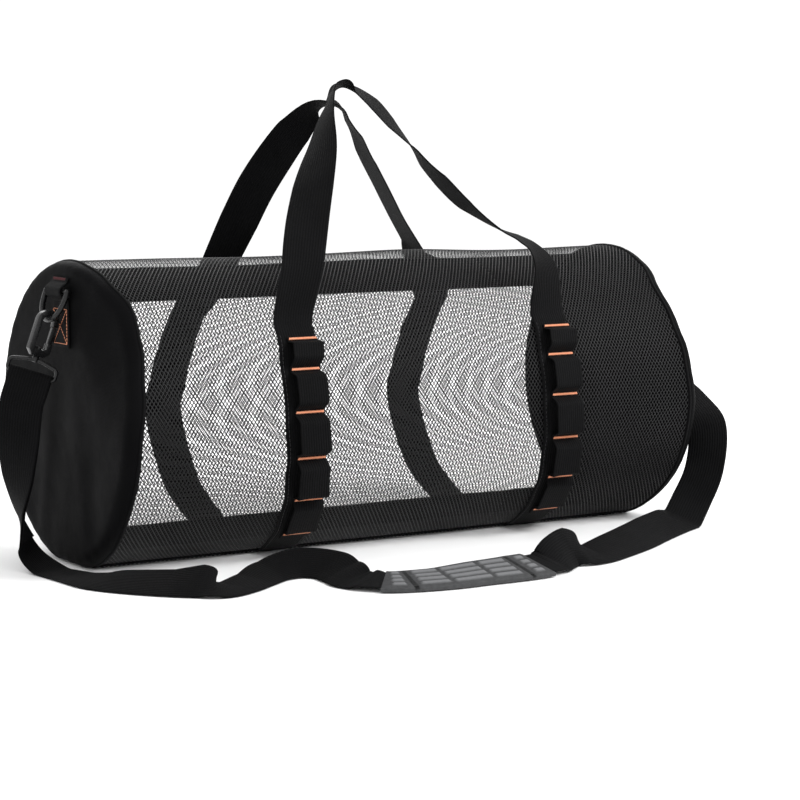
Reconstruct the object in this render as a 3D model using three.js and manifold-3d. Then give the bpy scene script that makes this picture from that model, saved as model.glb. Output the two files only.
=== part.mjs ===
// Mesh dive gear bag: a drum of net cloth between two coated end panels, lying on its side.
// Millimetres. X runs along the drum from the left end to the right end, -Y is the front, Z is up.
// The origin is the middle of the flat underside of the bottom panel.
// Angles round the drum are in degrees from the top, positive towards the back.
import * as THREE from "three";
import { mergeVertices } from "three/addons/utils/BufferGeometryUtils.js";
import Module from "manifold-3d";

// Drum
const drumLength = 580;
const drumRadius = 135;
const drumFlat = 3.2; // how far the underside is flattened where the bag rests
const clothThick = 1.6;
const seamGap = 0.34; // open joint between two neighbouring cloth panels
const layGap = 0.45; // air between a piece of webbing and the cloth it lies on
const panelStep = 6; // degrees between two facets
const alongSteps = 13;
const zipFrom = 24;
const zipTo = 48;
const baseFrom = 150;
const baseTo = 198;

// End panels
const endBulge = 12;
const endThick = 1.8;

// Webbing
const webWidth = 38;
const webThick = 1.6;
const strapSpacing = 272; // middle to middle of the two rings of webbing
const handleFootFront = -54; // angle where a handle leaves the drum
const handleFootBack = 54;
const handleRise = 285; // top of the handles above the middle of the drum

// Loop ladders on the two front rings
const ladderWidth = 30;
const ladderThick = 1.4;
const ladderShift = 4;
const ladderLoop = 9.5; // how far a loop stands off the ring
const ladderLastLoop = 5; // the same for the lowest loop
const ladderFoot = 2.4; // flat stretch on each side of a seam
const ladderShoulder = 9; // from a seam to where its loop is at full height

// Zip
const zipRidge = 1.3;
const zipRidgeHalf = 1.1; // degrees
const sliderAlong = 552;

// End tab, D-ring and snap hook
const tabMiddle = -4;
const tabInset = 14; // from the top of the drum down to the tab's upper end
const tabLength = 61;
const tabBarDrop = 12; // from the tab's upper end down to the bar of the D-ring
const ringWire = 2.5;
const ringDrop = 26;
const ringTilt = 20;
const hookTilt = 20;
const hookHalf = 10;
const hookEye = 5.5;
const hookThick = 7;
const hookLow = 33;
const hookHigh = 8.3;
const gateThick = 4;
const gateHinge = 24;
const gateTip = 5.2;
const gatePlay = 0.4;
const loopWire = 1.7;
const loopInner = webWidth / 2 + 0.6;
const loopTop = 37;
const loopLow = 50;
const swivelTurn = 32;

// Shoulder strap
const strapDrop = 13; // straight run of webbing below each bar, twice over
const padOver = 8; // how much wider the pad is than the webbing
const padWidth = webWidth + padOver;
const padThick = 6;
const padFrom = 0.46; // share of the strap's run
const padTo = 0.578;
const tailLeft = 150;
const tailRight = 45;
const floorGap = 0.3;

const middleHeight = drumRadius - drumFlat;
const tabHigh = drumRadius - tabInset; // heights on the tab are above the middle of the drum
const tabLow = tabHigh - tabLength;
const tabBar = tabHigh - tabBarDrop;
const half = drumLength / 2;
const leftRing = half - strapSpacing / 2;
const rightRing = half + strapSpacing / 2;
const gapAngle = THREE.MathUtils.radToDeg(seamGap / 2 / drumRadius);

// Colours
const clothBlack = { color: 0x141415, roughness: 0.62, metalness: 0 };
const netBlack = { color: 0x1b1b1c, roughness: 0.7, metalness: 0 };
const webBlack = { color: 0x101011, roughness: 0.85, metalness: 0 };
const plasticGrey = { color: 0x2b2c2e, roughness: 0.42, metalness: 0 };
const rubberGrey = { color: 0x47484a, roughness: 0.8, metalness: 0 };

// Soft dents and swells of the drum: place as a share of its length, angle, and depth inwards and
// spread as shares of its radius
const dents = [
  { along: 0.5, angle: -96, depth: 0.0178, spread: 0.63 },
  { along: 0.13, angle: -80, depth: 0.0119, spread: 0.444 },
  { along: 0.87, angle: -70, depth: 0.0133, spread: 0.519 },
  { along: 0.8, angle: -4, depth: 0.0148, spread: 0.556 },
  { along: 0.32, angle: 6, depth: 0.0089, spread: 0.519 },
  { along: 0.6, angle: 4, depth: -0.0119, spread: 0.444 },
  { along: 0.5, angle: 100, depth: 0.0148, spread: 0.667 },
];

// How far the end seam is pushed towards the middle of the bag, by angle, as a share of the radius
const seamPush = [
  { angle: -180, push: 0.0 },
  { angle: -150, push: -0.0074 },
  { angle: -125, push: -0.0222 },
  { angle: -98, push: -0.0148 },
  { angle: -76, push: 0.0222 },
  { angle: -60, push: 0.0593 },
  { angle: -44, push: 0.0815 },
  { angle: -28, push: 0.0296 },
  { angle: -10, push: 0.0 },
  { angle: 180, push: 0.0 },
];

// Sideways drift of the rings of webbing along the drum, by angle, as a share of the radius
const ringDrift = [
  { angle: -162, drift: 0.1556 },
  { angle: -144, drift: 0.1222 },
  { angle: -126, drift: 0.0815 },
  { angle: -108, drift: 0.0333 },
  { angle: -90, drift: 0.0 },
  { angle: -72, drift: -0.0037 },
  { angle: -60, drift: 0.0222 },
  { angle: 48, drift: 0.1556 },
  { angle: 60, drift: 0.1185 },
  { angle: 72, drift: 0.0889 },
  { angle: 84, drift: 0.0519 },
  { angle: 96, drift: 0.0 },
  { angle: 126, drift: 0.0296 },
  { angle: 150, drift: 0.0889 },
];

// Handles above the drum: run is a share of the ring spacing from the left ring, out a share of the
// drum's radius from its middle plane, rise a share of the handle rise above the drum's middle,
// turn the share of a half turn made by the webbing
const frontHandle = [
  { run: 0.052, out: -0.8, rise: 0.45, turn: 0.05 },
  { run: 0.087, out: -0.72, rise: 0.534, turn: 0.12 },
  { run: 0.119, out: -0.645, rise: 0.6, turn: 0.2 },
  { run: 0.171, out: -0.533, rise: 0.693, turn: 0.28 },
  { run: 0.247, out: -0.378, rise: 0.816, turn: 0.45 },
  { run: 0.289, out: -0.281, rise: 0.904, turn: 0.565 },
  { run: 0.324, out: -0.222, rise: 0.961, turn: 0.64 },
  { run: 0.35, out: -0.193, rise: 0.992, turn: 0.69 },
  { run: 0.384, out: -0.178, rise: 1.007, turn: 0.74 },
  { run: 0.419, out: -0.178, rise: 1.002, turn: 0.77 },
  { run: 0.458, out: -0.193, rise: 0.985, turn: 0.78 },
  { run: 0.498, out: -0.23, rise: 0.953, turn: 0.795 },
  { run: 0.55, out: -0.281, rise: 0.892, turn: 0.77 },
  { run: 0.611, out: -0.341, rise: 0.819, turn: 0.675 },
  { run: 0.64, out: -0.4, rise: 0.767, turn: 0.6 },
  { run: 0.69, out: -0.459, rise: 0.709, turn: 0.54 },
  { run: 0.758, out: -0.563, rise: 0.629, turn: 0.54 },
  { run: 0.867, out: -0.667, rise: 0.549, turn: 0.67 },
  { run: 0.925, out: -0.726, rise: 0.52, turn: 0.75 },
  { run: 0.972, out: -0.77, rise: 0.486, turn: 0.79 },
  { run: 1.005, out: -0.81, rise: 0.425, turn: 0.88 },
];
const backHandle = [
  { run: 0.146, out: 0.775, rise: 0.392, turn: 0 },
  { run: 0.174, out: 0.715, rise: 0.467, turn: -0.04 },
  { run: 0.208, out: 0.622, rise: 0.571, turn: -0.1 },
  { run: 0.247, out: 0.519, rise: 0.683, turn: -0.1 },
  { run: 0.299, out: 0.415, rise: 0.788, turn: -0.08 },
  { run: 0.343, out: 0.319, rise: 0.867, turn: -0.05 },
  { run: 0.4, out: 0.205, rise: 0.942, turn: 0.11 },
  { run: 0.475, out: 0.18, rise: 0.947, turn: 0.27 },
  { run: 0.56, out: 0.244, rise: 0.875, turn: 0.38 },
  { run: 0.64, out: 0.341, rise: 0.781, turn: 0.425 },
  { run: 0.738, out: 0.452, rise: 0.677, turn: 0.425 },
  { run: 0.827, out: 0.556, rise: 0.584, turn: 0.425 },
  { run: 0.944, out: 0.674, rise: 0.468, turn: 0.45 },
  { run: 1.01, out: 0.745, rise: 0.405, turn: 0.75 },
];

// Shoulder strap: along is a share of the drum's length from the left seam, out a share of its radius,
// up the height of the middle line as a share of the radius (nothing where it lies on the ground),
// face and lean the compass angle and slope of the webbing's width
const strapPath = [
  { along: -0.0948, out: -0.02, up: 0.8296, face: -48, lean: -8 },
  { along: -0.0962, out: -0.01, up: 0.5926, face: -72, lean: -4 },
  { along: -0.0931, out: 0, up: 0.3556, face: -105, lean: 0 },
  { along: -0.0793, out: -0.03, up: 0.1185, face: -140, lean: 0 },
  { along: -0.0655, out: -0.28, up: 0, face: -172, lean: 0 },
  { along: -0.0593, out: -0.55, up: 0, face: -180, lean: -4 },
  { along: -0.0535, out: -0.841, up: 0, face: -182, lean: -14 },
  { along: -0.0333, out: -1.033, up: 0, face: -158, lean: -20 },
  { along: 0.0055, out: -1.265, up: 0, face: -144, lean: -25 },
  { along: 0.0394, out: -1.419, up: 0, face: -118, lean: -34 },
  { along: 0.0606, out: -1.477, up: 0, face: -81, lean: -15 },
  { along: 0.0999, out: -1.409, up: 0, face: -62, lean: -6 },
  { along: 0.1492, out: -1.267, up: 0, face: -65, lean: -8 },
  { along: 0.1892, out: -1.167, up: 0, face: -82, lean: -17 },
  { along: 0.2325, out: -1.168, up: 0, face: -115, lean: -32 },
  { along: 0.2612, out: -1.296, up: 0, face: -148, lean: -30 },
  { along: 0.2629, out: -1.463, up: 0, face: -158, lean: -20 },
  { along: 0.2591, out: -1.648, up: 0, face: -138, lean: -12 },
  { along: 0.2836, out: -1.837, up: 0, face: -106, lean: -8 },
  { along: 0.3611, out: -1.942, up: 0, face: -90, lean: -9 },
  { along: 0.4345, out: -1.949, up: 0, face: -90, lean: -12 },
  { along: 0.5017, out: -1.954, up: 0, face: -89, lean: -14 },
  { along: 0.56, out: -1.913, up: 0, face: -80, lean: -14 },
  { along: 0.5928, out: -1.844, up: 0, face: -77, lean: -40 },
  { along: 0.6239, out: -1.784, up: 0, face: -75, lean: -54 },
  { along: 0.6503, out: -1.785, up: 0, face: -73, lean: -30 },
  { along: 0.681, out: -1.747, up: 0, face: -72, lean: -16 },
  { along: 0.7393, out: -1.629, up: 0, face: -66, lean: -22 },
  { along: 0.8013, out: -1.488, up: 0, face: -62, lean: -26 },
  { along: 0.8827, out: -1.263, up: 0, face: -59, lean: -28 },
  { along: 0.9644, out: -1.048, up: 0, face: -58, lean: -28 },
  { along: 1.0228, out: -0.909, up: 0.163, face: -58, lean: -26 },
  { along: 1.0594, out: -0.864, up: 0.3852, face: -55, lean: -16 },
  { along: 1.0776, out: -0.79, up: 0.6815, face: -48, lean: -6 },
  { along: 1.0862, out: -0.5, up: 0.8741, face: -20, lean: 6 },
];

const wasm = await Module();
wasm.setup();

// Straight reading between the rows of a table
function readTable(table, key, column, at) {
  let before = table[0];
  for (const row of table) {
    if (row[key] >= at) {
      const span = row[key] - before[key];
      if (span === 0) return row[column];
      const share = (at - before[key]) / span;
      const eased = share * share * (3 - 2 * share);
      return before[column] + (row[column] - before[column]) * eased;
    }
    before = row;
  }
  return before[column];
}

// Distance of the outer face of the cloth from the drum's axis
function wallRadius(along, angle) {
  const under = Math.cos(THREE.MathUtils.degToRad(angle - 180));
  let radius = drumRadius;
  if (under > 0.5) radius = Math.min(radius, middleHeight / under);
  const lift = THREE.MathUtils.smoothstep(under, 0.8, 0.9);
  for (const dent of dents) {
    let turn = angle - dent.angle;
    turn -= 360 * Math.round(turn / 360);
    const round = THREE.MathUtils.degToRad(turn) * drumRadius;
    const away = (along - dent.along * drumLength) ** 2 + round ** 2;
    radius -= (1 - lift) * dent.depth * drumRadius * Math.exp(-away / (dent.spread * drumRadius) ** 2);
  }
  return radius;
}

// A place on the drum: distance from the left seam, angle, height over the cloth
function wall(along, angle, over) {
  const turn = THREE.MathUtils.degToRad(angle);
  const radius = wallRadius(along, angle) + over;
  return new THREE.Vector3(along - half, radius * Math.sin(turn), middleHeight + radius * Math.cos(turn));
}

// Place along the drum of the end seam
function seamAt(angle, share) {
  let turn = angle;
  if (turn > 180) turn -= 360;
  const push = readTable(seamPush, "angle", "push", turn) * drumRadius;
  return share * drumLength + push * (1 - 2 * share) * Math.abs(1 - 2 * share) ** 3;
}

function finish(positions, faces) {
  const geometry = new THREE.BufferGeometry();
  geometry.setAttribute("position", new THREE.Float32BufferAttribute(positions, 3));
  geometry.setIndex(faces);
  let volume = 0;
  const a = new THREE.Vector3();
  const b = new THREE.Vector3();
  const c = new THREE.Vector3();
  const places = geometry.getAttribute("position");
  for (let i = 0; i < faces.length; i += 3) {
    a.fromBufferAttribute(places, faces[i]);
    b.fromBufferAttribute(places, faces[i + 1]);
    c.fromBufferAttribute(places, faces[i + 2]);
    volume += a.dot(b.cross(c));
  }
  if (volume < 0) {
    for (let i = 0; i < faces.length; i += 3) {
      const kept = faces[i];
      faces[i] = faces[i + 1];
      faces[i + 1] = kept;
    }
    geometry.setIndex(faces);
  }
  geometry.computeVertexNormals();
  return geometry;
}

// A closed bar whose section runs through rings of the same number of corners
function bar(rings, closed) {
  const corners = rings[0].length;
  const positions = [];
  const faces = [];
  for (const ring of rings) for (const corner of ring) positions.push(corner.x, corner.y, corner.z);
  const last = closed ? rings.length : rings.length - 1;
  for (let i = 0; i < last; i++) {
    const here = i * corners;
    const next = ((i + 1) % rings.length) * corners;
    for (let j = 0; j < corners; j++) {
      const k = (j + 1) % corners;
      faces.push(here + j, next + j, next + k, here + j, next + k, here + k);
    }
  }
  if (!closed) {
    const end = (rings.length - 1) * corners;
    for (let j = 1; j < corners - 1; j++) {
      faces.push(0, j, j + 1);
      faces.push(end, end + j + 1, end + j);
    }
  }
  return finish(positions, faces);
}

// A closed sheet with thickness: two grids of the same size, outer and inner
function sheet(outer, inner) {
  const rows = outer.length;
  const columns = outer[0].length;
  const positions = [];
  const faces = [];
  for (const grid of [outer, inner]) {
    for (const row of grid) for (const place of row) positions.push(place.x, place.y, place.z);
  }
  const at = (side, i, j) => side * rows * columns + i * columns + j;
  for (let i = 0; i < rows - 1; i++) {
    for (let j = 0; j < columns - 1; j++) {
      faces.push(at(0, i, j), at(0, i + 1, j), at(0, i + 1, j + 1));
      faces.push(at(0, i, j), at(0, i + 1, j + 1), at(0, i, j + 1));
      faces.push(at(1, i, j), at(1, i + 1, j + 1), at(1, i + 1, j));
      faces.push(at(1, i, j), at(1, i, j + 1), at(1, i + 1, j + 1));
    }
  }
  const edge = [];
  for (let j = 0; j < columns; j++) edge.push([0, j]);
  for (let i = 1; i < rows; i++) edge.push([i, columns - 1]);
  for (let j = columns - 2; j >= 0; j--) edge.push([rows - 1, j]);
  for (let i = rows - 2; i > 0; i--) edge.push([i, 0]);
  for (let k = 0; k < edge.length; k++) {
    const [i, j] = edge[k];
    const [m, n] = edge[(k + 1) % edge.length];
    faces.push(at(0, i, j), at(0, m, n), at(1, m, n));
    faces.push(at(0, i, j), at(1, m, n), at(1, i, j));
  }
  return finish(positions, faces);
}

// Cloth panel of the drum between two angles, with an optional height profile over the angle
function drumPanel(from, to, ridge) {
  const angles = [from + gapAngle];
  for (let angle = Math.ceil((from + 1) / panelStep) * panelStep; angle < to - 1; angle += panelStep) {
    angles.push(angle);
  }
  if (ridge) {
    const middle = (from + to) / 2;
    const foot = zipRidgeHalf + 0.35;
    const kept = angles.filter((angle) => Math.abs(angle - middle) > foot + 0.2);
    kept.push(middle - foot, middle - zipRidgeHalf, middle + zipRidgeHalf, middle + foot);
    angles.length = 0;
    angles.push(...kept.sort((a, b) => a - b));
  }
  angles.push(to - gapAngle);
  const outer = [];
  const inner = [];
  for (const angle of angles) {
    const raised = ridge && Math.abs(angle - (from + to) / 2) <= zipRidgeHalf + 1e-6;
    const outerRow = [];
    const innerRow = [];
    for (let i = 0; i <= alongSteps; i++) {
      const start = seamAt(angle, 0) + seamGap;
      const stop = seamAt(angle, 1) - seamGap;
      const along = start + ((stop - start) * i) / alongSteps;
      outerRow.push(wall(along, angle, raised ? zipRidge : 0));
      innerRow.push(wall(along, angle, -clothThick));
    }
    outer.push(outerRow);
    inner.push(innerRow);
  }
  return sheet(outer, inner);
}

// Profile of an end panel from the seam to the middle: share of the radius, share of the bulge
const endProfile = [
  { radius: 1.0, bulge: 0.0 },
  { radius: 0.997, bulge: 0.28 },
  { radius: 0.982, bulge: 0.6 },
  { radius: 0.952, bulge: 0.84 },
  { radius: 0.87, bulge: 0.985 },
  { radius: 0.55, bulge: 1.0 },
];

// Two soft upright folds of an end panel, as a share of its bulge, fading out above the middle
function foldDepth(across, up) {
  const low = 1 - THREE.MathUtils.smoothstep(up, -0.15, 0.35);
  const first = 0.217 * Math.exp(-(((across - 0.42) / 0.15) ** 2));
  const second = 0.183 * Math.exp(-(((across + 0.38) / 0.17) ** 2));
  return low * (first + second);
}

// One end panel; side is -1 at the left end and 1 at the right end
function endPanel(side) {
  const share = side < 0 ? 0 : 1;
  const step = panelStep;
  const count = 360 / step;
  const rows = endProfile.length;
  const positions = [];
  const faces = [];
  const rims = [];
  for (const face of [0, 1]) {
    for (let i = 0; i < rows; i++) {
      for (let j = 0; j < count; j++) {
        const angle = j * step - 180;
        const seam = seamAt(angle, share);
        const settle = THREE.MathUtils.smoothstep(endProfile[i].radius, 0.5, 1.0);
        const base = THREE.MathUtils.lerp(share * drumLength, seam, settle);
        const full = wallRadius(seam, angle);
        const before = endProfile[Math.max(i - 1, 0)];
        const after = endProfile[Math.min(i + 1, rows - 1)];
        const slope = new THREE.Vector2(
          (after.bulge - before.bulge) * endBulge,
          (before.radius - after.radius) * full,
        ).normalize();
        if (i === 0) slope.set(1, 0);
        if (i === rows - 1) slope.set(0, 1);
        let radius = endProfile[i].radius * full;
        const turn = THREE.MathUtils.degToRad(angle);
        const across = (Math.sin(turn) * radius) / drumRadius;
        const up = (Math.cos(turn) * radius) / drumRadius;
        const dent = i === 0 ? 0 : foldDepth(across, up) * (1 - settle);
        let out = (endProfile[i].bulge - dent) * endBulge;
        if (face === 1) {
          radius -= slope.x * endThick;
          out -= slope.y * endThick;
        }
        const x = base + side * out - half;
        positions.push(x, radius * Math.sin(turn), middleHeight + radius * Math.cos(turn));
      }
    }
    rims.push(positions.length / 3);
    positions.push(
      share * drumLength + side * (endBulge - face * endThick) - half,
      0,
      middleHeight,
    );
  }
  const perFace = rows * count + 1;
  for (const face of [0, 1]) {
    const start = face * perFace;
    const flip = face === 1;
    const put = (a, b, c) => (flip ? faces.push(a, c, b) : faces.push(a, b, c));
    for (let i = 0; i < rows - 1; i++) {
      for (let j = 0; j < count; j++) {
        const k = (j + 1) % count;
        const a = start + i * count + j;
        const b = start + i * count + k;
        put(a, a + count, b + count);
        put(a, b + count, b);
      }
    }
    for (let j = 0; j < count; j++) {
      const k = (j + 1) % count;
      put(start + (rows - 1) * count + j, rims[face], start + (rows - 1) * count + k);
    }
  }
  for (let j = 0; j < count; j++) {
    const k = (j + 1) % count;
    faces.push(j, k, perFace + k, j, perFace + k, perFace + j);
  }
  return finish(positions, faces);
}

// Outer face of an end panel near its tab, as a distance along the drum
function endFace(side) {
  return side * (half + endBulge);
}

// Four corners of a webbing section lying on the drum; facing is 1 where its width runs towards +X
function wallSection(along, angle, width, low, high, facing) {
  const left = along - (facing * width) / 2;
  const right = along + (facing * width) / 2;
  return [
    wall(left, angle, low),
    wall(right, angle, low),
    wall(right, angle, high),
    wall(left, angle, high),
  ];
}

// Four corners of a free webbing section
function freeSection(middle, across, forward, width, thick) {
  const run = forward.clone().normalize();
  const side = across.clone().addScaledVector(run, -across.dot(run)).normalize();
  const face = new THREE.Vector3().crossVectors(side, run);
  const corner = (a, b) =>
    middle.clone().addScaledVector(side, (a * width) / 2).addScaledVector(face, (b * thick) / 2);
  return [corner(-1, -1), corner(1, -1), corner(1, 1), corner(-1, 1)];
}

function ringAlong(ring, angle) {
  return ring + readTable(ringDrift, "angle", "drift", angle) * drumRadius;
}

// One handle with the two rings of webbing it runs into
function handleStrap(sign, table) {
  const top = sign < 0 ? handleFootFront : handleFootBack;
  const low = sign < 0 ? baseTo - 360 + 2 * gapAngle : baseFrom - 2 * gapAngle;
  const first = sign < 0 ? -156 : 144;
  const angles = [low];
  for (let angle = first; sign * angle >= sign * top; angle -= sign * panelStep) angles.push(angle);
  const lift = layGap + webThick / 2;
  const rise = (ring, angle) => wall(ringAlong(ring, angle), angle, lift);
  const points = [rise(leftRing, angles[angles.length - 2]), rise(leftRing, top)];
  const turns = [0, 0];
  for (const row of table) {
    points.push(
      new THREE.Vector3(
        leftRing + row.run * strapSpacing - half,
        row.out * drumRadius,
        middleHeight + row.rise * handleRise,
      ),
    );
    turns.push(row.turn);
  }
  points.push(rise(rightRing, top), rise(rightRing, angles[angles.length - 2]));
  turns.push(1, 1);
  const curve = new THREE.CatmullRomCurve3(points, false, "centripetal");
  const spans = points.length - 1;
  const sections = [];
  const facing = sign < 0 ? 1 : -1;
  for (const angle of angles) {
    sections.push(
      wallSection(ringAlong(leftRing, angle), angle, webWidth, layGap, layGap + webThick, facing),
    );
  }
  const perSpan = 2;
  for (let i = perSpan + 1; i < (spans - 1) * perSpan; i++) {
    const t = i / perSpan / spans;
    const place = curve.getPoint(t);
    const forward = curve.getTangent(t);
    const whole = Math.floor(t * spans);
    const share = t * spans - whole;
    const turn = THREE.MathUtils.lerp(turns[whole], turns[Math.min(whole + 1, spans)], share);
    const compass = sign < 0 ? -Math.PI * turn : Math.PI + Math.PI * turn;
    const across = new THREE.Vector3(Math.cos(compass), Math.sin(compass), 0);
    sections.push(freeSection(place, across, forward, webWidth, webThick));
  }
  for (const angle of angles.slice().reverse()) {
    sections.push(
      wallSection(ringAlong(rightRing, angle), angle, webWidth, layGap, layGap + webThick, -facing),
    );
  }
  return bar(sections, false);
}

// Angles at which a ladder is sewn down
const ladderSeams = [-60.5, -72, -87.5, -104.5, -122, -141.5];

// Height of a loop at a distance from the nearer of its two seams
function loopHeight(away, full) {
  const share = THREE.MathUtils.clamp((away - ladderFoot) / (ladderShoulder - ladderFoot), 0, 1);
  return full * Math.sin((Math.PI / 2) * share);
}

// Loop ladder sewn over a front ring
function ladder(ring) {
  const low = layGap + webThick + 0.35;
  const bend = (ladderFoot + ladderShoulder) / 2;
  const sections = [];
  const push = (angle, over) =>
    sections.push(
      wallSection(ringAlong(ring, angle) + ladderShift, angle, ladderWidth, low + over, low + over + ladderThick, 1),
    );
  push(ladderSeams[0] + 1.6, 0);
  for (let i = 0; i < ladderSeams.length - 1; i++) {
    const from = THREE.MathUtils.degToRad(ladderSeams[i]) * drumRadius;
    const to = THREE.MathUtils.degToRad(ladderSeams[i + 1]) * drumRadius;
    const full = i === ladderSeams.length - 2 ? ladderLastLoop : ladderLoop;
    for (const away of [0, ladderFoot, bend, ladderShoulder]) {
      push(THREE.MathUtils.radToDeg((from - away) / drumRadius), loopHeight(away, full));
    }
    for (const away of [ladderShoulder, bend, ladderFoot]) {
      push(THREE.MathUtils.radToDeg((to + away) / drumRadius), loopHeight(away, full));
    }
  }
  push(ladderSeams[ladderSeams.length - 1], 0);
  push(ladderSeams[ladderSeams.length - 1] - 3, 0);
  return bar(sections, false);
}

// Plain zip slider with its pull, over the ridge of the zip
function zipSlider() {
  const middle = (zipFrom + zipTo) / 2;
  const turn = THREE.MathUtils.degToRad(middle);
  const out = new THREE.Vector3(0, Math.sin(turn), Math.cos(turn));
  const side = new THREE.Vector3(0, Math.cos(turn), -Math.sin(turn));
  const base = wall(sliderAlong, middle, zipRidge + 0.5);
  const block = (from, to, halfFrom, halfTo, low, high) => {
    const section = (along, width) => {
      const at = base.clone();
      at.x += along;
      const corner = (a, b) => at.clone().addScaledVector(side, a).addScaledVector(out, b);
      return [corner(-width, low), corner(width, low), corner(width, high), corner(-width, high)];
    };
    return [section(from, halfFrom), section(to, halfTo)];
  };
  const body = bar(block(-8, 8, 5, 3.5, 0, 3), false);
  const pull = bar(block(-30, 5, 4, 2.5, 2.6, 4.2), false);
  return join(body, pull);
}

// Solid from a geometry, and back
function solid(geometry) {
  const bare = new THREE.BufferGeometry();
  bare.setAttribute("position", geometry.getAttribute("position").clone());
  if (geometry.index) bare.setIndex(geometry.index.clone());
  const merged = mergeVertices(bare, 1e-4);
  return new wasm.Manifold(
    new wasm.Mesh({
      numProp: 3,
      vertProperties: merged.getAttribute("position").array,
      triVerts: new Uint32Array(merged.index.array),
    }),
  );
}

function geometryOf(made) {
  const mesh = made.getMesh();
  const geometry = new THREE.BufferGeometry();
  const places = new Float32Array(mesh.vertProperties);
  geometry.setAttribute("position", new THREE.BufferAttribute(places, 3));
  geometry.setIndex(new THREE.BufferAttribute(new Uint32Array(mesh.triVerts), 1));
  geometry.computeVertexNormals();
  return geometry;
}

function join(a, b) {
  return geometryOf(solid(a).add(solid(b)));
}

function cut(a, b) {
  return geometryOf(solid(a).subtract(solid(b)));
}

function box(x0, x1, y0, y1, z0, z1) {
  const geometry = new THREE.BoxGeometry(x1 - x0, y1 - y0, z1 - z0);
  geometry.translate((x0 + x1) / 2, (y0 + y1) / 2, (z0 + z1) / 2);
  return geometry;
}

// Webbing tab on an end panel, sewn flat below and running out over the bar of the D-ring
function endTab(side) {
  const face = endFace(side);
  const lift = (height, over) => new THREE.Vector3(face + side * (0.35 + over), tabMiddle, middleHeight + height);
  const rest = webThick / 2;
  const outside = webThick * 1.5 + ringWire * 2 + 1.5;
  const rows = [
    [tabLow, rest],
    [tabBar - 12, rest],
    [tabBar - 8, rest + 0.6],
    [tabBar - 5, outside * 0.62],
    [tabBar - 3, outside * 0.9],
    [tabBar, outside],
    [tabBar + 3, outside * 0.92],
    [tabBar + 5.5, outside * 0.62],
    [tabBar + 8, outside * 0.25],
    [tabHigh, rest],
  ];
  const places = rows.map(([height, over]) => lift(height, over));
  const across = new THREE.Vector3(0, 1, 0);
  const sections = places.map((place, i) => {
    const before = places[Math.max(i - 1, 0)];
    const after = places[Math.min(i + 1, places.length - 1)];
    return freeSection(place, across, after.clone().sub(before), webWidth, webThick);
  });
  return bar(sections, false);
}

// Middle of the bar of a D-ring
function ringBar(side) {
  const over = 0.35 + webThick + 0.5 + ringWire;
  return new THREE.Vector3(endFace(side) + side * over, tabMiddle, middleHeight + tabBar);
}

// Direction in which a D-ring hangs
function ringDown(side) {
  const tilt = THREE.MathUtils.degToRad(ringTilt);
  return new THREE.Vector3(side * Math.sin(tilt), 0, -Math.cos(tilt));
}

function dRing(side) {
  const middle = ringBar(side);
  const down = ringDown(side);
  const reach = webWidth / 2 + 0.5 + ringWire;
  const path = [];
  for (let i = 0; i <= 16; i++) {
    const turn = (Math.PI * i) / 16;
    path.push([reach * Math.cos(turn), ringDrop * Math.sin(turn) ** 0.75]);
  }
  path.push([-reach * 0.5, 0], [reach * 0.5, 0]);
  const places = path.map(([across, drop]) => {
    const place = middle.clone().addScaledVector(down, drop);
    place.y += across;
    return place;
  });
  const normal = new THREE.Vector3().crossVectors(down, new THREE.Vector3(0, 1, 0));
  const count = places.length;
  const rings = places.map((place, i) => {
    const forward = places[(i + 1) % count].clone().sub(places[(i + count - 1) % count]).normalize();
    const side1 = new THREE.Vector3().crossVectors(forward, normal).normalize();
    const ring = [];
    for (let k = 0; k < 8; k++) {
      const turn = (Math.PI * 2 * (k + 0.5)) / 8;
      ring.push(
        place
          .clone()
          .addScaledVector(side1, ringWire * Math.cos(turn))
          .addScaledVector(normal, ringWire * Math.sin(turn)),
      );
    }
    return ring;
  });
  return bar(rings, true);
}

// Frame of a snap hook: x towards the bag, y up along the hook, z across; the origin is the middle
// of the D-ring's wire at its lowest place
function hookFrame(side) {
  const origin = ringBar(side).addScaledVector(ringDown(side), ringDrop);
  const tilt = THREE.MathUtils.degToRad(hookTilt);
  const up = new THREE.Vector3(-side * Math.sin(tilt), 0, Math.cos(tilt));
  const inward = new THREE.Vector3(-side * Math.cos(tilt), 0, -Math.sin(tilt));
  const across = new THREE.Vector3().crossVectors(inward, up);
  return new THREE.Matrix4().makeBasis(inward, up, across).setPosition(origin);
}

// Rounded outline from the low end to the high end of a hook
function roundOutline(shape, halfWidth, low, high, steps) {
  const points = [];
  for (let i = 0; i <= steps; i++) {
    const turn = Math.PI * (i / steps);
    points.push(new THREE.Vector2(halfWidth * Math.cos(turn), high - halfWidth + halfWidth * Math.sin(turn)));
  }
  const corner = halfWidth * 0.45;
  points.push(new THREE.Vector2(-halfWidth, low + corner));
  points.push(new THREE.Vector2(-halfWidth + corner, low));
  points.push(new THREE.Vector2(halfWidth - corner, low));
  points.push(new THREE.Vector2(halfWidth, low + corner));
  shape.setFromPoints(points);
  return shape;
}

function extrude(shape, depth) {
  const geometry = new THREE.ExtrudeGeometry(shape, { depth, bevelEnabled: false, curveSegments: 10 });
  geometry.translate(0, 0, -depth / 2);
  return geometry;
}

function cylinderAcross(radius, length, x, y) {
  const geometry = new THREE.CylinderGeometry(radius, radius, length, 12);
  geometry.rotateX(Math.PI / 2);
  geometry.translate(x, y, 0);
  return geometry;
}

const gateMiddle = hookEye + 0.2 + gateThick / 2;

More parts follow.
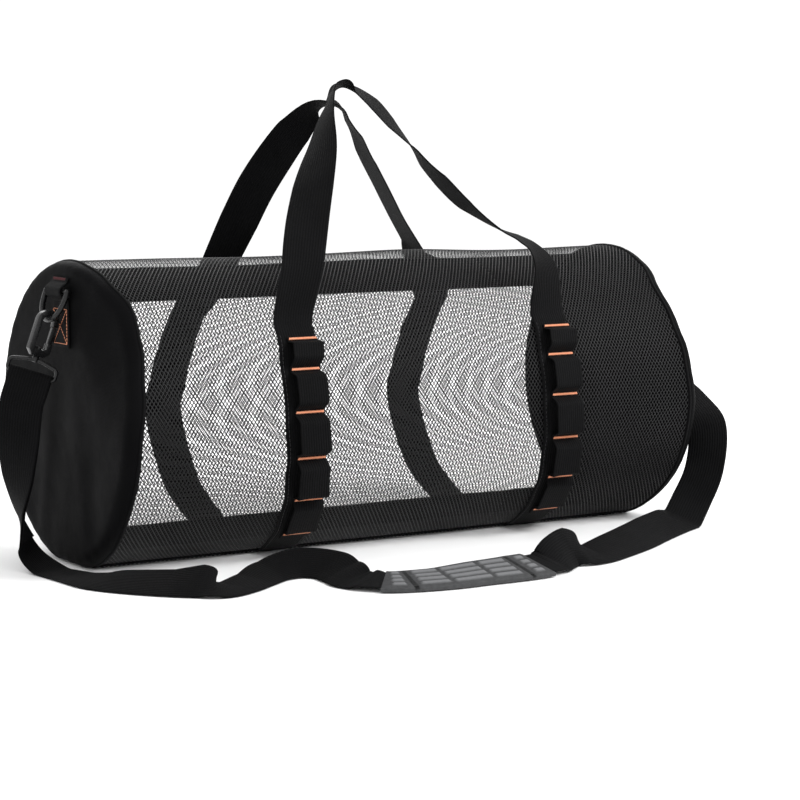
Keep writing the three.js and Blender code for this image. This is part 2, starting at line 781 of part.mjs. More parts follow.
function hookBody(side) {
  const shape = roundOutline(new THREE.Shape(), hookHalf, -hookLow, hookHigh, 12);
  shape.holes.push(roundOutline(new THREE.Path(), hookEye, -hookLow + 6, ringWire + 0.4, 10));
  let body = extrude(shape, hookThick);
  body = cut(body, box(hookEye - 0.8, hookHalf + 2, -20, -gateTip + gatePlay, -hookThick, hookThick));
  body = cut(body, box(hookEye - 1.5, hookHalf + 2, -hookLow + 6, -19.5, -gateThick / 2 - gatePlay, gateThick / 2 + gatePlay));
  body = cut(body, stem(2.6 + gatePlay, -hookLow - 2, -hookLow + 8));
  body = join(body, cylinderAcross(0.9, hookThick - 1, gateMiddle, -gateHinge));
  return body.applyMatrix4(hookFrame(side));
}

// Round post along the hook
function stem(radius, low, high) {
  const geometry = new THREE.CylinderGeometry(radius, radius, high - low, 12);
  geometry.translate(0, (low + high) / 2, 0);
  return geometry;
}

function hookGate(side) {
  const halfThick = gateThick / 2;
  const shape = new THREE.Shape();
  const points = [new THREE.Vector2(gateMiddle + halfThick, -gateTip), new THREE.Vector2(gateMiddle - halfThick, -gateTip)];
  for (let i = 0; i <= 8; i++) {
    const turn = Math.PI + (Math.PI * i) / 8;
    points.push(new THREE.Vector2(gateMiddle + halfThick * Math.cos(turn), -gateHinge + halfThick * Math.sin(turn)));
  }
  shape.setFromPoints(points);
  let gate = extrude(shape, gateThick);
  const thumb = box(gateMiddle + 1, gateMiddle + halfThick + 1.6, -17, -11, -halfThick, halfThick);
  gate = join(gate, thumb);
  gate = cut(gate, cylinderAcross(0.9 + gatePlay * 0.8, gateThick + 2, gateMiddle, -gateHinge));
  return gate.applyMatrix4(hookFrame(side));
}

// Turn of the strap loop about the hook's own line
function swivelFrame(side) {
  const turn = side < 0 ? THREE.MathUtils.degToRad(-swivelTurn) : 0;
  return hookFrame(side).multiply(new THREE.Matrix4().makeRotationY(turn));
}

function hookSwivel(side) {
  const reach = loopInner + loopWire;
  const outline = [
    [-reach - loopWire, -loopLow - loopWire],
    [reach + loopWire, -loopLow - loopWire],
    [reach + loopWire, -loopTop - 2],
    [5, -loopTop + loopWire + 1.8],
    [-5, -loopTop + loopWire + 1.8],
    [-reach - loopWire, -loopTop - 2],
  ];
  const window = [
    [-loopInner, -loopLow + loopWire],
    [-loopInner, -loopTop - 3],
    [-4, -loopTop - loopWire],
    [4, -loopTop - loopWire],
    [loopInner, -loopTop - 3],
    [loopInner, -loopLow + loopWire],
  ];
  const shape = new THREE.Shape(outline.map(([x, y]) => new THREE.Vector2(x, y)));
  shape.holes.push(new THREE.Path(window.map(([x, y]) => new THREE.Vector2(x, y))));
  let made = extrude(shape, loopWire * 2);
  made = join(made, stem(2.6, -loopTop, -hookLow + 7.6));
  made = join(made, stem(3.5, -hookLow + 7.2, -hookLow + 8.8));
  return made.applyMatrix4(swivelFrame(side));
}

// Middle, width direction and hanging direction of the bar that holds the shoulder strap
function strapBar(side) {
  const frame = swivelFrame(side);
  const middle = new THREE.Vector3(0, -loopLow, 0).applyMatrix4(frame);
  const across = new THREE.Vector3();
  const up = new THREE.Vector3();
  frame.extractBasis(across, up, new THREE.Vector3());
  return { middle, across, up };
}

// Sections of the shoulder strap's middle line from the left bar to the right bar
function strapFrames() {
  const left = strapBar(-1);
  const right = strapBar(1);
  if (left.across.x < 0) left.across.negate();
  if (right.across.x < 0) right.across.negate();
  const below = (bar, distance) => ({
    place: bar.middle.clone().addScaledVector(bar.up, -distance),
    across: bar.across,
  });
  const rows = [below(left, 0), below(left, strapDrop), below(left, strapDrop * 2)];
  for (const row of strapPath) {
    const face = THREE.MathUtils.degToRad(row.face);
    const lean = THREE.MathUtils.degToRad(row.lean);
    rows.push({
      place: new THREE.Vector3(row.along * drumLength - half, row.out * drumRadius, row.up * drumRadius),
      across: new THREE.Vector3(
        Math.cos(face) * Math.cos(lean),
        Math.sin(face) * Math.cos(lean),
        Math.sin(lean),
      ),
    });
  }
  rows.push(below(right, strapDrop * 2), below(right, strapDrop), below(right, 0));
  const curve = new THREE.CatmullRomCurve3(rows.map((row) => row.place), false, "centripetal");
  const spans = rows.length - 1;
  const perSpan = 3;
  const frames = [];
  let run = 0;
  for (let i = 0; i <= spans * perSpan; i++) {
    const whole = Math.min(Math.floor(i / perSpan), spans - 1);
    const share = i / perSpan - whole;
    const place = curve.getPoint(i / perSpan / spans);
    const forward = curve.getTangent(i / perSpan / spans).normalize();
    const across = rows[whole].across.clone().lerp(rows[whole + 1].across, share);
    across.addScaledVector(forward, -across.dot(forward)).normalize();
    if (frames.length) run += place.distanceTo(frames[frames.length - 1].place);
    frames.push({ place, forward, across, run });
  }
  for (const frame of frames) {
    frame.share = frame.run / run;
    frame.face = new THREE.Vector3().crossVectors(frame.across, frame.forward);
    const onPad = frame.share > padFrom - 0.012 && frame.share < padTo + 0.012;
    const width = onPad ? padWidth : webWidth;
    const thick = onPad ? padThick : webThick;
    const lowest = (width / 2) * Math.abs(frame.across.z) + (thick / 2) * Math.abs(frame.face.z);
    frame.place.z = Math.max(frame.place.z, lowest + floorGap);
  }
  return frames;
}

// The whole shoulder strap: a doubled tail, the turn over each bar and the long run between
function shoulderStrap(frames) {
  const turnRadius = loopWire * 1.42 + 0.4 + webThick / 2;
  const layer = webThick + 0.6;
  const first = frames[0];
  const last = frames[frames.length - 1];
  const sections = [];
  const spread = (distance) => 1 - THREE.MathUtils.smoothstep(distance, 3, 24);
  const lay = (frame, offset, way) => {
    const middle = frame.place.clone().addScaledVector(frame.face, offset);
    const forward = frame.forward.clone().multiplyScalar(way);
    sections.push(freeSection(middle, frame.across, forward, webWidth, webThick));
  };
  const turnOver = (frame, start, way) => {
    for (let i = 0; i <= 8; i++) {
      const turn = (Math.PI * i) / 8;
      const middle = frame.place
        .clone()
        .addScaledVector(frame.face, start * turnRadius * Math.cos(turn))
        .addScaledVector(frame.forward, way * turnRadius * Math.sin(turn));
      const forward = frame.face
        .clone()
        .multiplyScalar(-start * Math.sin(turn))
        .addScaledVector(frame.forward, way * Math.cos(turn));
      sections.push(freeSection(middle, frame.across, forward, webWidth, webThick));
    }
  };
  const fromRight = (frame) => last.run - frame.run;
  const leftTail = frames.filter((frame) => frame.run > 3 && frame.run < tailLeft).reverse();
  for (const frame of leftTail) {
    lay(frame, THREE.MathUtils.lerp(layer, turnRadius, spread(frame.run)), -1);
  }
  turnOver(first, 1, -1);
  for (const frame of frames) {
    if (frame.run < 3 || fromRight(frame) < 3) continue;
    const near = Math.min(frame.run, fromRight(frame));
    lay(frame, -turnRadius * spread(near), 1);
  }
  turnOver(last, -1, 1);
  const rightTail = frames.filter((frame) => fromRight(frame) > 3 && fromRight(frame) < tailRight).reverse();
  for (const frame of rightTail) {
    lay(frame, THREE.MathUtils.lerp(layer, turnRadius, spread(fromRight(frame))), -1);
  }
  return bar(sections, false);
}

// Rubber pad, a flat sleeve round the shoulder strap
function gripPad(frames) {
  const part = frames.filter((frame) => frame.share > padFrom && frame.share < padTo);
  const outer = part.map((frame) => freeSection(frame.place, frame.across, frame.forward, padWidth, padThick));
  const holeWidth = webWidth + 0.8;
  const holeThick = webThick + 0.8;
  const inner = part.map((frame) => freeSection(frame.place, frame.across, frame.forward, holeWidth, holeThick));
  const positions = [];
  const faces = [];
  const count = part.length;
  for (const rings of [outer, inner]) {
    for (const ring of rings) for (const corner of ring) positions.push(corner.x, corner.y, corner.z);
  }
  const at = (side, i, j) => side * count * 4 + i * 4 + (j % 4);
  for (let i = 0; i < count - 1; i++) {
    for (let j = 0; j < 4; j++) {
      faces.push(at(0, i, j), at(0, i + 1, j), at(0, i + 1, j + 1), at(0, i, j), at(0, i + 1, j + 1), at(0, i, j + 1));
      faces.push(at(1, i, j), at(1, i + 1, j + 1), at(1, i + 1, j), at(1, i, j), at(1, i, j + 1), at(1, i + 1, j + 1));
    }
  }
  for (const i of [0, count - 1]) {
    for (let j = 0; j < 4; j++) {
      const ring = [at(0, i, j), at(0, i, j + 1), at(1, i, j + 1), at(1, i, j)];
      if (i === 0) faces.push(ring[0], ring[1], ring[2], ring[0], ring[2], ring[3]);
      else faces.push(ring[0], ring[2], ring[1], ring[0], ring[3], ring[2]);
    }
  }
  return finish(positions, faces);
}

const bag = new THREE.Group();
bag.name = "mesh_dive_bag";

function add(name, geometry, look) {
  const mesh = new THREE.Mesh(geometry, new THREE.MeshStandardMaterial(look));
  mesh.name = name;
  bag.add(mesh);
}

add("net_front", drumPanel(baseTo - 360, zipFrom, false), netBlack);
add("net_back", drumPanel(zipTo, baseFrom, false), netBlack);
add("zip_band", drumPanel(zipFrom, zipTo, true), webBlack);
add("bottom_panel", drumPanel(baseFrom, baseTo, false), clothBlack);
add("end_panel_left", endPanel(-1), clothBlack);
add("end_panel_right", endPanel(1), clothBlack);
add("zip_slider", zipSlider(), plasticGrey);
add("handle_strap_front", handleStrap(-1, frontHandle), webBlack);
add("handle_strap_back", handleStrap(1, backHandle), webBlack);
add("loop_ladder_left", ladder(leftRing), webBlack);
add("loop_ladder_right", ladder(rightRing), webBlack);
for (const [word, side] of [["left", -1], ["right", 1]]) {
  add("end_tab_" + word, endTab(side), webBlack);
  add("d_ring_" + word, dRing(side), plasticGrey);
  add("hook_body_" + word, hookBody(side), plasticGrey);
  add("hook_gate_" + word, hookGate(side), plasticGrey);
  add("hook_swivel_" + word, hookSwivel(side), plasticGrey);
}
const frames = strapFrames();
add("shoulder_strap", shoulderStrap(frames), webBlack);
add("grip_pad", gripPad(frames), rubberGrey);

export default bag;
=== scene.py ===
"""Mesh dive gear bag: the looks, built over the fixed frame.

Lengths inside the shape functions are millimetres. X runs along the drum, -Y is the front, Z is up.
Angles round the drum are degrees from the top, positive towards the back. A shape is a grid or a
section carried along a line, worked out as whole arrays."""

import math

import bmesh
import bpy
import numpy as np
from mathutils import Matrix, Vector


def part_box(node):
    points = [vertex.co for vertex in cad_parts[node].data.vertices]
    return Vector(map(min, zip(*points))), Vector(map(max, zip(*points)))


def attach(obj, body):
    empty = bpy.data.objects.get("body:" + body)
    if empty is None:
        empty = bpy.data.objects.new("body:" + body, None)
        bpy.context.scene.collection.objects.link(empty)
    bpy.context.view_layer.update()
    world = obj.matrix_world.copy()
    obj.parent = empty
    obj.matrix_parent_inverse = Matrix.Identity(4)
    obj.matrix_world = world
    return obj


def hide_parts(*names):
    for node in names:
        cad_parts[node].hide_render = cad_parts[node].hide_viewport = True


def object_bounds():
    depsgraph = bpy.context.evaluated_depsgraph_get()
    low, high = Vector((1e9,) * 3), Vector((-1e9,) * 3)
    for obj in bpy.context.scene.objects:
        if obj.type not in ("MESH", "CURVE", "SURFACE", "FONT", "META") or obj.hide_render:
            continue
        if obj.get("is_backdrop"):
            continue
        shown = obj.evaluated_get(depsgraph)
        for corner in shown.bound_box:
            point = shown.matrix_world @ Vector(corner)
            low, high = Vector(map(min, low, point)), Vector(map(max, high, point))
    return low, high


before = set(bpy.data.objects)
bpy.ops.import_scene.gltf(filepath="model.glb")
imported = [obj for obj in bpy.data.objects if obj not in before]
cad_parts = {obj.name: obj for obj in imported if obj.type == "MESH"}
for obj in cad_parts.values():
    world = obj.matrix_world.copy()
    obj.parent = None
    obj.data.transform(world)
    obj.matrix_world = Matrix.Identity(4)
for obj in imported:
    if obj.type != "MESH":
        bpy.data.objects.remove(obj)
cad_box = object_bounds()

MM = 0.001

# Drum, read from the frame where it gives the size
RADIUS = 135.0
HALF = round(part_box("bottom_panel")[1].x / MM)
LENGTH = 2 * HALF
FLAT = 3.2
MIDDLE = RADIUS - FLAT
CLOTH = 1.6
DENT_FADE = (0.8, 0.9)  # cosine from straight below, over which dents die away to the flat underside
ZIP_FROM, ZIP_TO = 24.0, 48.0
BASE_FROM, BASE_TO = 150.0, 198.0
BASE_TUCK = 0.4  # degrees by which the bottom panel runs on past its seams
BELOW = 180.0
FLOOR_SKIN = 0.05  # lowest height of a cloth
END_BULGE = 12.0
END_THICK = 1.8
PIPING_RADIUS, PIPING_SINK = 1.9, 0.9

# Webbing
WEB_WIDTH, WEB_THICK = 38.0, 1.6
LAY = 0.45  # from the drum to the rings of webbing
SEWN_GAP = 0.35  # from a sewn webbing to what it is sewn on
SELVEDGE_RISE, SELVEDGE_PLACE, SELVEDGE_SPREAD = 0.12, 0.9, 0.06
STRAP_SPACING = 272.0
LEFT_RING = HALF - STRAP_SPACING / 2
RIGHT_RING = HALF + STRAP_SPACING / 2
FOOT_FRONT, FOOT_BACK = -54.0, 54.0
HANDLE_RISE = 285.0
RING_START = 0.2  # degrees from the edge of the bottom panel to the end of a ring
FOOT_RUN = 6.0  # degrees of ring over which a handle comes off the drum
DIRECTION_SPAN = 10.0  # to each side of a place, where the direction along the drum is taken
LADDER_WIDTH, LADDER_THICK, LADDER_SHIFT = 30.0, 1.4, 4.0
LADDER_LOOP, LADDER_LAST_LOOP, LADDER_FOOT, LADDER_SHOULDER = 9.5, 5.0, 2.4, 9.0
LADDER_SEAMS = [-60.5, -72.0, -87.5, -104.5, -122.0, -141.5]
LADDER_HEAD, LADDER_TAIL = 1.6, 7.0  # ends beyond the first and the last seam

# End tab, D-ring and swivel
TAB_MIDDLE = -4.0
TAB_HIGH = RADIUS - 14.0
TAB_LOW = TAB_HIGH - 61.0
TAB_BAR = TAB_HIGH - 12.0
RING_WIRE, RING_DROP, RING_TILT = 2.5, 26.0, 20.0
TAB_WIDTH = WEB_WIDTH - 6
SEWN_BOX, SEWN_BOX_FOOT = 30.0, 3.5
HOOK_TILT, SWIVEL_TURN = 20.0, 32.0
LOOP_WIRE, LOOP_LOW, LOOP_TOP = 1.7, 50.0, 37.0
HOOK_LOW = 33.0

# Zip
TEETH_ANGLE, TEETH_GAP = 36.0, 0.8
TOOTH_LONG, TOOTH_HIGH, TOOTH_PITCH, TOOTH_ASIDE = 1.7, 1.3, 1.7, 1.15
ZIP_END = 10.0

# Shoulder strap
STRAP_DROP = 13.0
PAD_WIDTH, PAD_THICK = 46.0, 6.0
PAD_FROM, PAD_TO = 0.46, 0.578
TAIL_LEFT, TAIL_RIGHT = 150.0, 45.0
TAIL_START, TAIL_OPEN = 3.0, 24.0  # from a bar, where its two layers begin and where they meet
LAYER_GAP = 0.6
PAD_NEAR, PAD_FAR = 0.01, 0.016  # shares of the run before and after the pad, where the strap rises
PAD_BORE_GAP = 0.8
RIB_HIGH, GROOVE_DEEP, EDGE_DROP = 1.5, 1.1, 0.9
FLOOR_GAP = 0.3

# Rows of black stitches
ROW_END, ROW_PITCH = 6.0, 4.2
SELVEDGE_ROW = 2.6  # from the edge of the webbing

# Net
CELL = 3.4
CELL_TURN = 56.0
THREAD_WIDE, THREAD_THICK = 0.42, 0.15
WEAVE_LIFT = 0.12
TUCK = 2.2  # degrees by which the net runs on under its neighbours
NET_OVER = 20.0  # by which the outer cuts of the net lie beyond the drum

# Dents of the drum: share of its length, angle, depth and spread as shares of its radius
DENTS = [
    (0.5, -96, 0.0178, 0.63),
    (0.13, -80, 0.0119, 0.444),
    (0.87, -70, 0.0133, 0.519),
    (0.8, -4, 0.0148, 0.556),
    (0.32, 6, 0.0089, 0.519),
    (0.6, 4, -0.0119, 0.444),
    (0.5, 100, 0.0148, 0.667),
]
# Push of the end seam towards the middle: angle, share of the radius
SEAM_PUSH = [
    (-180, 0), (-150, -0.0074), (-125, -0.0222), (-98, -0.0148), (-76, 0.0222),
    (-60, 0.0593), (-44, 0.0815), (-28, 0.0296), (-10, 0), (180, 0),
]
# Drift of the rings along the drum: angle, share of the radius
RING_DRIFT = [
    (-162, 0.1556), (-144, 0.1222), (-126, 0.0815), (-108, 0.0333), (-90, 0), (-72, -0.0037),
    (-60, 0.0222), (48, 0.1556), (60, 0.1185), (72, 0.0889), (84, 0.0519), (96, 0),
    (126, 0.0296), (150, 0.0889),
]
# Handles: share of the ring spacing, share of the radius, share of the rise, share of a half turn.
# The rows were worked out from places read off the photo through the camera.
FRONT_HANDLE = [
    (0.052, -0.8, 0.45, 0.05), (0.087, -0.72, 0.534, 0.12), (0.119, -0.645, 0.6, 0.2),
    (0.171, -0.533, 0.693, 0.28), (0.247, -0.378, 0.816, 0.45), (0.289, -0.281, 0.904, 0.565),
    (0.324, -0.222, 0.961, 0.64), (0.35, -0.193, 0.992, 0.69), (0.384, -0.178, 1.007, 0.74),
    (0.419, -0.178, 1.002, 0.77), (0.458, -0.193, 0.985, 0.78), (0.498, -0.23, 0.953, 0.795),
    (0.55, -0.281, 0.892, 0.77), (0.611, -0.341, 0.819, 0.675), (0.64, -0.4, 0.767, 0.6),
    (0.69, -0.459, 0.709, 0.54), (0.758, -0.563, 0.629, 0.54), (0.867, -0.667, 0.549, 0.67),
    (0.925, -0.726, 0.52, 0.75), (0.972, -0.77, 0.486, 0.79), (1.005, -0.81, 0.425, 0.88),
]
BACK_HANDLE = [
    (0.146, 0.775, 0.392, 0), (0.174, 0.715, 0.467, -0.04), (0.208, 0.622, 0.571, -0.1),
    (0.247, 0.519, 0.683, -0.1), (0.299, 0.415, 0.788, -0.08), (0.343, 0.319, 0.867, -0.05),
    (0.4, 0.205, 0.942, 0.11), (0.475, 0.18, 0.947, 0.27), (0.56, 0.244, 0.875, 0.38),
    (0.64, 0.341, 0.781, 0.425), (0.738, 0.452, 0.677, 0.425), (0.827, 0.556, 0.584, 0.425),
    (0.944, 0.674, 0.468, 0.45), (1.01, 0.745, 0.405, 0.75),
]
# Shoulder strap: share of the length, shares of the radius outwards and upwards, compass angle and
# slope of the webbing's width. In rows 5 to 32, counted from 0, the first two values were worked
# out from an earlier choice of rows, so that the lower edge kept its place when the angles changed.
STRAP_PATH = [
    (-0.0948, -0.02, 0.8296, -48, -8), (-0.0962, -0.01, 0.5926, -72, -4), (-0.0931, 0, 0.3556, -105, 0),
    (-0.0793, -0.03, 0.1185, -140, 0), (-0.0655, -0.28, 0, -172, 0), (-0.0593, -0.55, 0, -180, -4),
    (-0.0535, -0.841, 0, -182, -14), (-0.0333, -1.033, 0, -158, -20), (0.0055, -1.265, 0, -144, -25),
    (0.0394, -1.419, 0, -118, -34), (0.0606, -1.477, 0, -81, -15), (0.0999, -1.409, 0, -62, -6),
    (0.1492, -1.267, 0, -65, -8), (0.1892, -1.167, 0, -82, -17), (0.2325, -1.168, 0, -115, -32),
    (0.2612, -1.296, 0, -148, -30), (0.2629, -1.463, 0, -158, -20), (0.2591, -1.648, 0, -138, -12),
    (0.2836, -1.837, 0, -106, -8), (0.3611, -1.942, 0, -90, -9), (0.4345, -1.949, 0, -90, -12),
    (0.5017, -1.954, 0, -89, -14), (0.56, -1.913, 0, -80, -14), (0.5928, -1.844, 0, -77, -40),
    (0.6239, -1.784, 0, -75, -54), (0.6503, -1.785, 0, -73, -30), (0.681, -1.747, 0, -72, -16),
    (0.7393, -1.629, 0, -66, -22), (0.8013, -1.488, 0, -62, -26), (0.8827, -1.263, 0, -59, -28),
    (0.9644, -1.048, 0, -58, -28), (1.0228, -0.909, 0.163, -58, -26), (1.0594, -0.864, 0.3852, -55, -16),
    (1.0776, -0.79, 0.6815, -48, -6), (1.0862, -0.5, 0.8741, -20, 6),
]

# Folds of an end panel: depth, slant, place across, spread, share of the depth kept at the top
END_FOLDS = [
    (2.6, 0.12, 0.42, 0.13, 0.0), (2.2, -0.1, -0.38, 0.15, 0.0), (1.6, 0.25, 0.02, 0.12, 0.4),
    (-1.5, 0.18, 0.2, 0.1, 0.0), (-1.2, -0.2, -0.18, 0.1, 0.0),
]
# Studio: white floor and walls, and soft lights by name, place, aim, size and power
FLOOR_REACH, FLOOR_WHITE, WALL_LIGHT = 30.0, 0.93, 1.1
LAMPS = [
    ("key", (2.3, -2.6, 2.7), (0, 0, 0.15), 1.4, 140),
    ("fill", (-2.6, -2.2, 1.6), (0, 0, 0.15), 2.2, 8),
    ("back", (0.6, 2.8, 2.4), (0, 0, 0.2), 2.0, 40),
]


# Arithmetic


def unit(vector):
    """Each vector divided by its own length."""
    return vector / np.maximum(np.linalg.norm(vector, axis=-1, keepdims=True), 1e-12)


def ease(value, low, high):
    """3t^2 - 2t^3 of the share t of the way from low to high, held at 0 and 1 outside."""
    t = np.clip((value - low) / (high - low), 0, 1)
    return t * t * (3 - 2 * t)


def read(table, at):
    """Eased reading between the rows of a two-column table."""
    keys, values = np.array(table, float).T
    i = np.clip(np.searchsorted(keys, at), 1, len(keys) - 1)
    return values[i - 1] + (values[i] - values[i - 1]) * ease(at, keys[i - 1], keys[i])


def drum(along, angle, over=0.0):
    """A place on the drum: a circle about the X axis, cut flat underneath, less a bell-shaped dent
    for each row of DENTS, then pushed outwards by over."""
    along, angle, over = np.broadcast_arrays(*map(lambda v: np.asarray(v, float), (along, angle, over)))
    turn = np.radians(angle)
    under = np.cos(turn - np.pi)
    radius = np.where(under > 0.5, np.minimum(RADIUS, MIDDLE / np.maximum(under, 0.5)), RADIUS)
    dent = np.zeros_like(turn)
    for place, centre, depth, spread in DENTS:
        off = np.radians((angle - centre + 180) % 360 - 180) * RADIUS
        away = (along - place * LENGTH) ** 2 + off**2
        dent += depth * RADIUS * np.exp(-away / (spread * RADIUS) ** 2)
    radius = radius - (1 - ease(under, *DENT_FADE)) * dent + over
    return np.stack([along - HALF, radius * np.sin(turn), MIDDLE + radius * np.cos(turn)], -1)


def seam_at(angle, share):
    """Place along the drum of the end seam: share 0 is the left seam and 1 the right one."""
    turn = np.where(np.asarray(angle) > 180, np.asarray(angle) - 360, angle)
    push = read(SEAM_PUSH, turn) * RADIUS
    return share * LENGTH + push * (1 - 2 * share)


def ring_along(ring, angle):
    """Place along the drum of a ring of webbing, with its drift."""
    return ring + read(RING_DRIFT, angle) * RADIUS


def route(points, per):
    """Centripetal Catmull-Rom line through the points: places and directions at per steps a span."""
    points = np.asarray(points, float)
    p = np.vstack([2 * points[0] - points[1], points, 2 * points[-1] - points[-2]])
    spans = len(points) - 1
    t = np.arange(spans * per + 1) / per
    i = np.minimum(t.astype(int), spans - 1)
    f = (t - i)[:, None]
    a, b, c, d = p[i], p[i + 1], p[i + 2], p[i + 3]
    ab, bc, cd = (np.sqrt(np.linalg.norm(v, axis=1))[:, None] for v in (b - a, c - b, d - c))
    m = ((b - a) / ab - (c - a) / (ab + bc) + (c - b) / bc) * bc
    n = ((c - b) / bc - (d - b) / (bc + cd) + (d - c) / cd) * bc
    square, cube = 3 * (c - b) - 2 * m - n, 2 * (b - c) + m + n
    return b + m * f + square * f**2 + cube * f**3, unit(m + 2 * square * f + 3 * cube * f**2)


def run_of(line):
    """Length from the start of a line to each of its points."""
    return np.concatenate([[0], np.cumsum(np.linalg.norm(np.diff(line, axis=0), axis=1))])


def at_run(run, values, wanted):
    """Columns of values read straight between the points of a line, at the wanted lengths."""
    return np.stack([np.interp(wanted, run, values[:, k]) for k in range(values.shape[1])], -1)


# Parts: a part is (points, four-cornered faces, flat lay of each point in millimetres)


def grid(points, lay):
    """A sheet over a grid of points, one face between each four neighbours."""
    rows, columns = points.shape[:2]
    index = np.arange(rows * columns).reshape(rows, columns)
    faces = np.stack([index[:-1, :-1], index[1:, :-1], index[1:, 1:], index[:-1, 1:]], -1)
    return facing_out(points.reshape(-1, 3), faces.reshape(-1, 4), lay.reshape(-1, 2))


def facing_out(points, faces, lay):
    """The same sheet with its faces turned round if they look towards the middle of the drum."""
    a, b, c = (points[faces[:, k]] for k in range(3))
    outward = (np.cross(b - a, c - a) * (a - [0, 0, MIDDLE])).sum()
    return points, (faces[:, ::-1] if outward < 0 else faces), lay


def carried(rings, closed=False, lay=None):
    """A bar: sections with the same even number of corners joined one after another; the two ends
    of an open bar are filled with strips across the section."""
    count, corners = rings.shape[:2]
    index = np.arange(count * corners).reshape(count, corners)
    after = np.roll(index, -1, 0) if closed else index[1:]
    here = index if closed else index[:-1]
    faces = [np.stack([here, after, np.roll(after, -1, 1), np.roll(here, -1, 1)], -1).reshape(-1, 4)]
    if not closed:
        k = np.arange(corners // 2 - 1)
        strip = np.stack([k, k + 1, corners - 2 - k, corners - 1 - k], -1)
        faces += [strip, (strip + (count - 1) * corners)[:, ::-1]]
    if lay is None:
        lay = np.zeros((count * corners, 2))
    return outwards(rings.reshape(-1, 3), np.vstack(faces), lay.reshape(-1, 2))


def outwards(points, faces, lay):
    """The same closed part with its faces turned round if its volume comes out negative."""
    a, b, c, d = (points[faces[:, k]] for k in range(4))
    volume = (a * np.cross(b, c)).sum() + (a * np.cross(c, d)).sum()
    return points, (faces[:, ::-1] if volume < 0 else faces), lay


def together(parts):
    """Several parts as one, the faces of each counted on from the points before."""
    starts = np.cumsum([0] + [len(p[0]) for p in parts])
    faces = np.vstack([p[1] + s for p, s in zip(parts, starts)])
    return np.vstack([p[0] for p in parts]), faces, np.vstack([p[2] for p in parts])


def copies(part, origin, x, y, z):
    """One small part set at each origin with its own three directions."""
    points, faces, lay = part
    made = (
        origin[:, None] + points[None, :, :1] * x[:, None]
        + points[None, :, 1:2] * y[:, None] + points[None, :, 2:] * z[:, None]
    )
    steps = np.arange(len(origin))[:, None, None] * len(points)
    return made.reshape(-1, 3), (faces[None] + steps).reshape(-1, 4), np.tile(lay, (len(origin), 1))


def tube(line, radius, sides, face, closed=False, flat=1.0):
    """A round cord along a line: a circle of the radius in the plane across the line, pressed by
    flat in the direction of face."""
    ahead = np.gradient(line, axis=0) if not closed else np.roll(line, -1, 0) - np.roll(line, 1, 0)
    ahead = unit(ahead)
    side = unit(np.cross(ahead, face))
    up = np.cross(side, ahead)
    turn = 2 * np.pi * (np.arange(sides) + 0.5) / sides
    radius = np.broadcast_to(np.asarray(radius, float), (len(line),))[:, None, None]
    rings = (
        line[:, None] + side[:, None] * np.cos(turn)[None, :, None] * radius
        + up[:, None] * np.sin(turn)[None, :, None] * radius * flat
    )
    lay = np.stack(np.broadcast_arrays(np.arange(sides)[None, :] * 1.0, run_of(line)[:, None]), -1)
    return carried(rings, closed, lay)


def webbing(middle, across, width, thick, columns=18):
    """Flat webbing along a line: across the width u from -1 to 1 its half thickness is
    (1 - |u|^10)^0.5 of half the thickness, so both edges are round, with a low swell along each
    edge. The lay is the place across and the length along."""
    ahead = unit(np.gradient(middle, axis=0))
    side = unit(across - (across * ahead).sum(-1, keepdims=True) * ahead)
    face = np.cross(side, ahead)
    u = np.sin(np.linspace(-1, 1, columns) * np.pi / 2)
    u = np.sign(u) * np.abs(u) ** 0.8
    half = thick / 2 * np.sqrt(np.maximum(1 - np.abs(u * 0.985) ** 10, 0.0))
    half += SELVEDGE_RISE * np.exp(-(((np.abs(u) - SELVEDGE_PLACE) / SELVEDGE_SPREAD) ** 2))
    u = np.concatenate([u, u[::-1]])
    half = np.concatenate([half, -half[::-1]])
    rings = middle[:, None] + side[:, None] * (u * width / 2)[None, :, None]
    rings = rings + face[:, None] * half[None, :, None]
    lay = np.stack(np.broadcast_arrays((u * width / 2)[None, :], run_of(middle)[:, None]), -1)
    return carried(rings, lay=lay)


def stitch(long, wide, high):
    """One stitch lying on cloth: an arch that rises and sinks as half a sine, thinner at both ends."""
    t = np.linspace(-0.5, 0.5, 4)
    swell = 0.55 + 0.45 * np.cos(t * np.pi)
    corner = np.array([[-1, 0], [0, 1], [1, 0], [0, -1]]) * 0.5
    rings = np.stack([
        np.broadcast_to(t[:, None] * long, (4, 4)),
        corner[None, :, 0] * wide * swell[:, None],
        corner[None, :, 1] * high * swell[:, None] + (np.cos(t * np.pi) * 0.45 * high)[:, None],
    ], -1)
    return carried(rings)


def stitches(line, up, pitch, long=2.6, wide=0.7, high=0.6):
    """A row of stitches along a line, one each pitch, each pointing along the line with its back to
    the direction up."""
    run = run_of(line)
    middles = np.arange(pitch / 2, run[-1], pitch)
    place = at_run(run, line, middles)
    ahead = unit(at_run(run, line, middles + 0.3) - at_run(run, line, middles - 0.3))
    back = unit(at_run(run, up, middles))
    side = unit(np.cross(back, ahead))
    return copies(stitch(long, wide, high), place, ahead, side, np.cross(ahead, side))


def bartack(middle, across, up, long, tall, turns=13, radius=0.42, height=0.3):
    """A dense zigzag of thread: it goes from side to side in turns steps over the length, tall high,
    lifted a little off the webbing."""
    t = np.linspace(-0.5, 0.5, 2 * turns + 1)
    sway = tall / 2 * np.where(np.arange(2 * turns + 1) % 2, 1, -1)
    ahead = np.cross(up, across)
    line = middle + np.outer(t * long, across) + np.outer(sway, ahead) + np.outer(t * 0 + height, up)
    fine = np.linspace(0, len(line) - 1, 3 * (len(line) - 1) + 1)
    line = np.stack([np.interp(fine, np.arange(len(line)), line[:, k]) for k in range(3)], -1)
    return tube(line, radius, 6, np.tile(up, (len(line), 1)))


